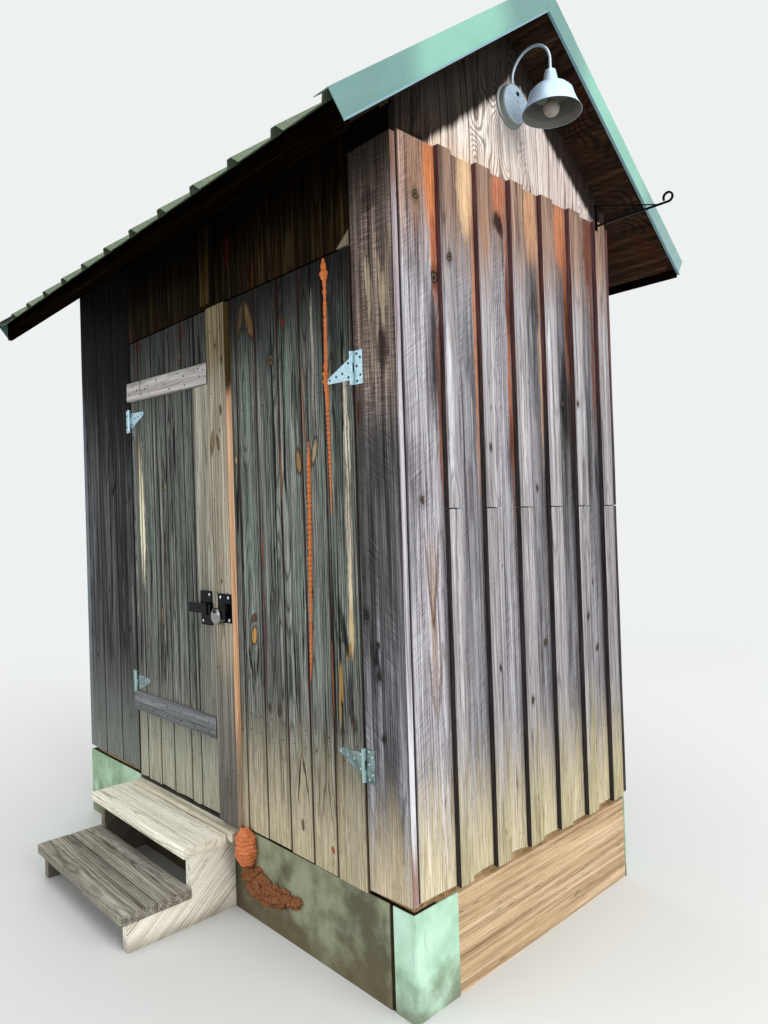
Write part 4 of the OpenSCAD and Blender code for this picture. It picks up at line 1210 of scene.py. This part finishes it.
def lump(bm, centre, radii, seed, rough, rings, sides, folds=0.0):
    """A lumpy blob cut flat where it meets the wall behind it; folds adds level ribs."""
    rows = []
    for j in range(rings + 1):
        lat = math.pi * (j / rings - 0.5)
        row = []
        for i in range(sides):
            lon = 2 * math.pi * i / sides
            d = Vector((math.cos(lat) * math.cos(lon), math.cos(lat) * math.sin(lon), math.sin(lat)))
            swell = 1 + rough * noise.noise(d * 2.0 + Vector((seed, 0, 0))) + rough * 0.4 * noise.noise(d * 6.0)
            at = Vector(d[k] * radii[k] for k in range(3)) * swell
            if folds:
                rib = 0.88 + 0.16 * abs(math.sin(math.pi * (at.z / folds + 0.5 * noise.noise(d * 1.5))))
                at.x *= rib
                at.y *= rib
            at += Vector(centre)
            at.y = min(at.y, FRONT)
            at.z = max(at.z, 0.0)
            row.append(bm.verts.new(at))
        rows.append(row)
    skin(bm, rows)


def foam():
    beads("door_foam", "foam_bright", BRIGHT_FOAM, 1.0)
    beads("door_foam_old", "foam_old", OLD_FOAM, 5.0)
    bm = new_mesh()
    lump(bm, (0.336, FRONT - 0.022, 0.274), (0.047, 0.040, 0.074), 11.0, 0.25, 60, 36, 0.016)
    piece("foam_plug", bm, ["foam"], replaces=["foam_filler"])
    bm = new_mesh()
    for k, (x, z, r) in enumerate(TRAIL):
        lump(bm, (x, FRONT - 0.004, z), (r * 1.7, r * 0.8, r * 1.1), 20.0 + k, 0.8, 24, 32)
    piece("foam_trail", bm, ["foam_old"])


foam()

# Gable walls and rear wall

BATTENS = [(BATTEN_Y, 0.064)] + [(BATTEN_Y + BATTEN_PITCH * i, 0.078) for i in range(1, 6)]
BOARD_SHADES = (1.38, 0.84, 1.05, 0.84, 0.80, 0.80, 0.80)
# Lower and upper end of the two lengths of every batten
STOREYS = ((WALL_LOW, JOINT - 0.002), (JOINT + 0.002, GABLE_HIGH))


def gable(side):
    """Boards and battens of one gable wall; side is 1 on the right and -1 on the left."""
    out = X * side
    tag = "right" if side > 0 else "left"
    seams = [-0.603] + [y + w / 2 for y, w in BATTENS] + [0.608]
    bm = new_mesh()
    for i, (a, b) in enumerate(zip(seams, seams[1:])):
        shade = tuple(c * BOARD_SHADES[i] for c in (1.0, 1.0, 1.03))
        board(bm, Vector((SIDE * side, a, WALL_LOW)), Y, Z, -out, b - a - 0.002, GABLE_HIGH - WALL_LOW, BOARD,
              500 + i + 50 * side, tint=shade, foot=uneven(i, 0.008), top=uneven(i + 9, 0.004), vary=0.08)
    piece(tag + "_boards", bm, ["gable_wood"], replaces=[tag + "_wall_boards"])
    bm = new_mesh()
    for i, (y, w) in enumerate(BATTENS):
        for low, high in STOREYS:
            board(bm, Vector(((SIDE + BATTEN) * side, y, low)), Y, Z, -out, w, high - low, BATTEN,
                  600 + i + int(low * 10) + 70 * side, edge=0.002, foot=uneven(i + 3, 0.004) if low < 1 else (),
                  tint=(1.12, 1.11, 1.11), vary=0.10)
    piece(tag + "_battens", bm, ["batten_wood"], replaces=[tag + "_wall_battens"])


def rear():
    """Boards and battens of the rear wall, whose outer battens end flush with its corners."""
    count, wide = 13, 0.088
    pitch = (2 * SIDE - wide) / (count - 1)
    bm = new_mesh()
    for i in range(count - 1):
        a = -SIDE + wide / 2 + i * pitch if i else -SIDE
        b = -SIDE + wide / 2 + (i + 1) * pitch if i < count - 2 else SIDE
        board(bm, Vector((b, REAR, WALL_LOW)), -X, Z, -Y, b - a - 0.002, WALL_HIGH - WALL_LOW, BOARD, 700 + i,
              tint=(0.88, 0.88, 0.91), foot=uneven(i, 0.008), vary=0.08)
    piece("rear_boards", bm, ["gable_wood"], replaces=["rear_wall_boards"])
    bm = new_mesh()
    for i in range(count):
        for low, high in STOREYS:
            board(bm, Vector((-SIDE + i * pitch + wide, REAR + BATTEN, low)), -X, Z, -Y, wide, high - low, BATTEN,
                  800 + i + int(low * 10), edge=0.002)
    piece("rear_battens", bm, ["batten_wood"], replaces=["rear_wall_battens"])


gable(1)
gable(-1)
rear()

# Steps


def tread(bm, x0, x1, back, high, wide, seed, shade):
    """One board of a tread, given by its two ends, its back edge and its top face."""
    board(bm, Vector((x0, back, high)), -Y, X, -Z, wide, x1 - x0, 0.038, seed, edge=0.005, wave=0.002,
          tint=shade, vary=0)


def steps():
    bm = new_mesh()
    tread(bm, -0.630, 0.226, -0.827, 0.144, 0.138, 901, (1.0, 1.04, 1.14))
    tread(bm, -0.630, 0.226, -0.968, 0.144, 0.138, 902, (0.9, 0.94, 1.02))
    piece("lower_treads", bm, ["tread_wood"], replaces=["step_treads"])
    bm = new_mesh()
    tread(bm, -0.638, 0.232, -0.677, 0.302, 0.184, 900, (1, 1, 1))
    piece("upper_tread", bm, ["step_wood"])


steps()

# Camera and light

# Place in metres, and angles in radians
CAMERA_AT = (2.7737, -2.1734, 1.5243)
YAW, RISE, ROLL = -0.8125, 0.0092, -0.0317
FOCAL_PIXELS, PHOTO_HIGH = 726.83, 1024.0
SENSOR = 36.0


def camera():
    """The photo's camera as it was solved."""
    cam = bpy.data.objects.new("camera", bpy.data.cameras.new("camera"))
    SCENE.collection.objects.link(cam)
    forward = Vector((math.sin(YAW) * math.cos(RISE), math.cos(YAW) * math.cos(RISE), math.sin(RISE)))
    right = Vector((math.cos(YAW), -math.sin(YAW), 0.0))
    down = forward.cross(right)
    c, s = math.cos(ROLL), math.sin(ROLL)
    right, down = c * right - s * down, s * right + c * down
    turn = Matrix((right, -down, -forward)).transposed()
    cam.matrix_world = Matrix.Translation(CAMERA_AT) @ turn.to_4x4()
    cam.data.lens = SENSOR * FOCAL_PIXELS / PHOTO_HIGH
    cam.data.sensor_width = SENSOR
    cam.data.clip_start, cam.data.clip_end = 0.05, 200.0
    SCENE.camera = cam


def area(name, at, to, size, power, tone=(1, 1, 1)):
    lamp = bpy.data.lights.new(name, "AREA")
    lamp.energy, lamp.color = power, tone
    lamp.shape, lamp.size, lamp.size_y = "RECTANGLE", size[0], size[1]
    obj = bpy.data.objects.new(name, lamp)
    obj.location = at
    obj.rotation_euler = (Vector(to) - Vector(at)).to_track_quat("-Z", "Y").to_euler()
    SCENE.collection.objects.link(obj)


camera()
area("sky_light", (0.5, -0.5, 8.5), (0.3, 0, 1.5), (9, 9), 620)
area("side_light", (7.5, -0.5, 4.2), (1.0, 0, 1.4), (5, 4), 420, (1.0, 0.98, 0.95))
area("front_light", (-2.0, -8.0, 2.8), (-0.2, 0, 1.2), (6, 3.5), 260)
area("left_light", (-7.5, 2.0, 4.0), (0, 0, 1.4), (5, 4), 180)
area("rear_light", (1.5, 8.0, 4.0), (0, 0, 1.4), (5, 4), 180)

# World and floor

PALE_TONE = (0.86, 0.88, 0.88)


def sky():
    """A soft bluish light, which the camera and mirrors see as a pale wall."""
    SCENE.world = bpy.data.worlds.new("world")
    SCENE.world.use_nodes = True
    tree = SCENE.world.node_tree
    tree.nodes.clear()
    path = add_node(tree, "LightPath")
    seen = add_node(tree, "Math", (path["Is Camera Ray"], path["Is Glossy Ray"]), operation="MAXIMUM")[0]
    soft = add_node(tree, "Background", ((0.94, 0.97, 1.0), 0.42))[0]
    pale = add_node(tree, "Background", (PALE_TONE, 1.0))[0]
    add_node(tree, "OutputWorld", (add_node(tree, "MixShader", (seen, soft, pale))[0],))


def floor():
    """A pale floor whose far part glows in the background's colour, so that no horizon shows."""
    net = Net("floor", 0.9, 0.0, 0.0)
    x, y, _ = net.xyz()
    away = net.fit(net.vec("LENGTH", net.join(x, y, 0.0)), 2.4, 7.5)
    net.look("Emission Color", PALE_TONE)
    net.look("Emission Strength", away)
    net.look("Base Color", net.mix(net.minus(1.0, away), (0, 0, 0), (0.62, 0.63, 0.62)))
    bm = bmesh.new()
    bmesh.ops.create_circle(bm, cap_ends=True, segments=96, radius=60.0)
    mesh = bpy.data.meshes.new("floor")
    bm.to_mesh(mesh)
    bm.free()
    mesh.materials.append(MAT["floor"])
    obj = bpy.data.objects.new("floor", mesh)
    SCENE.collection.objects.link(obj)


sky()
floor()
SCENE.view_settings.view_transform = "Standard"
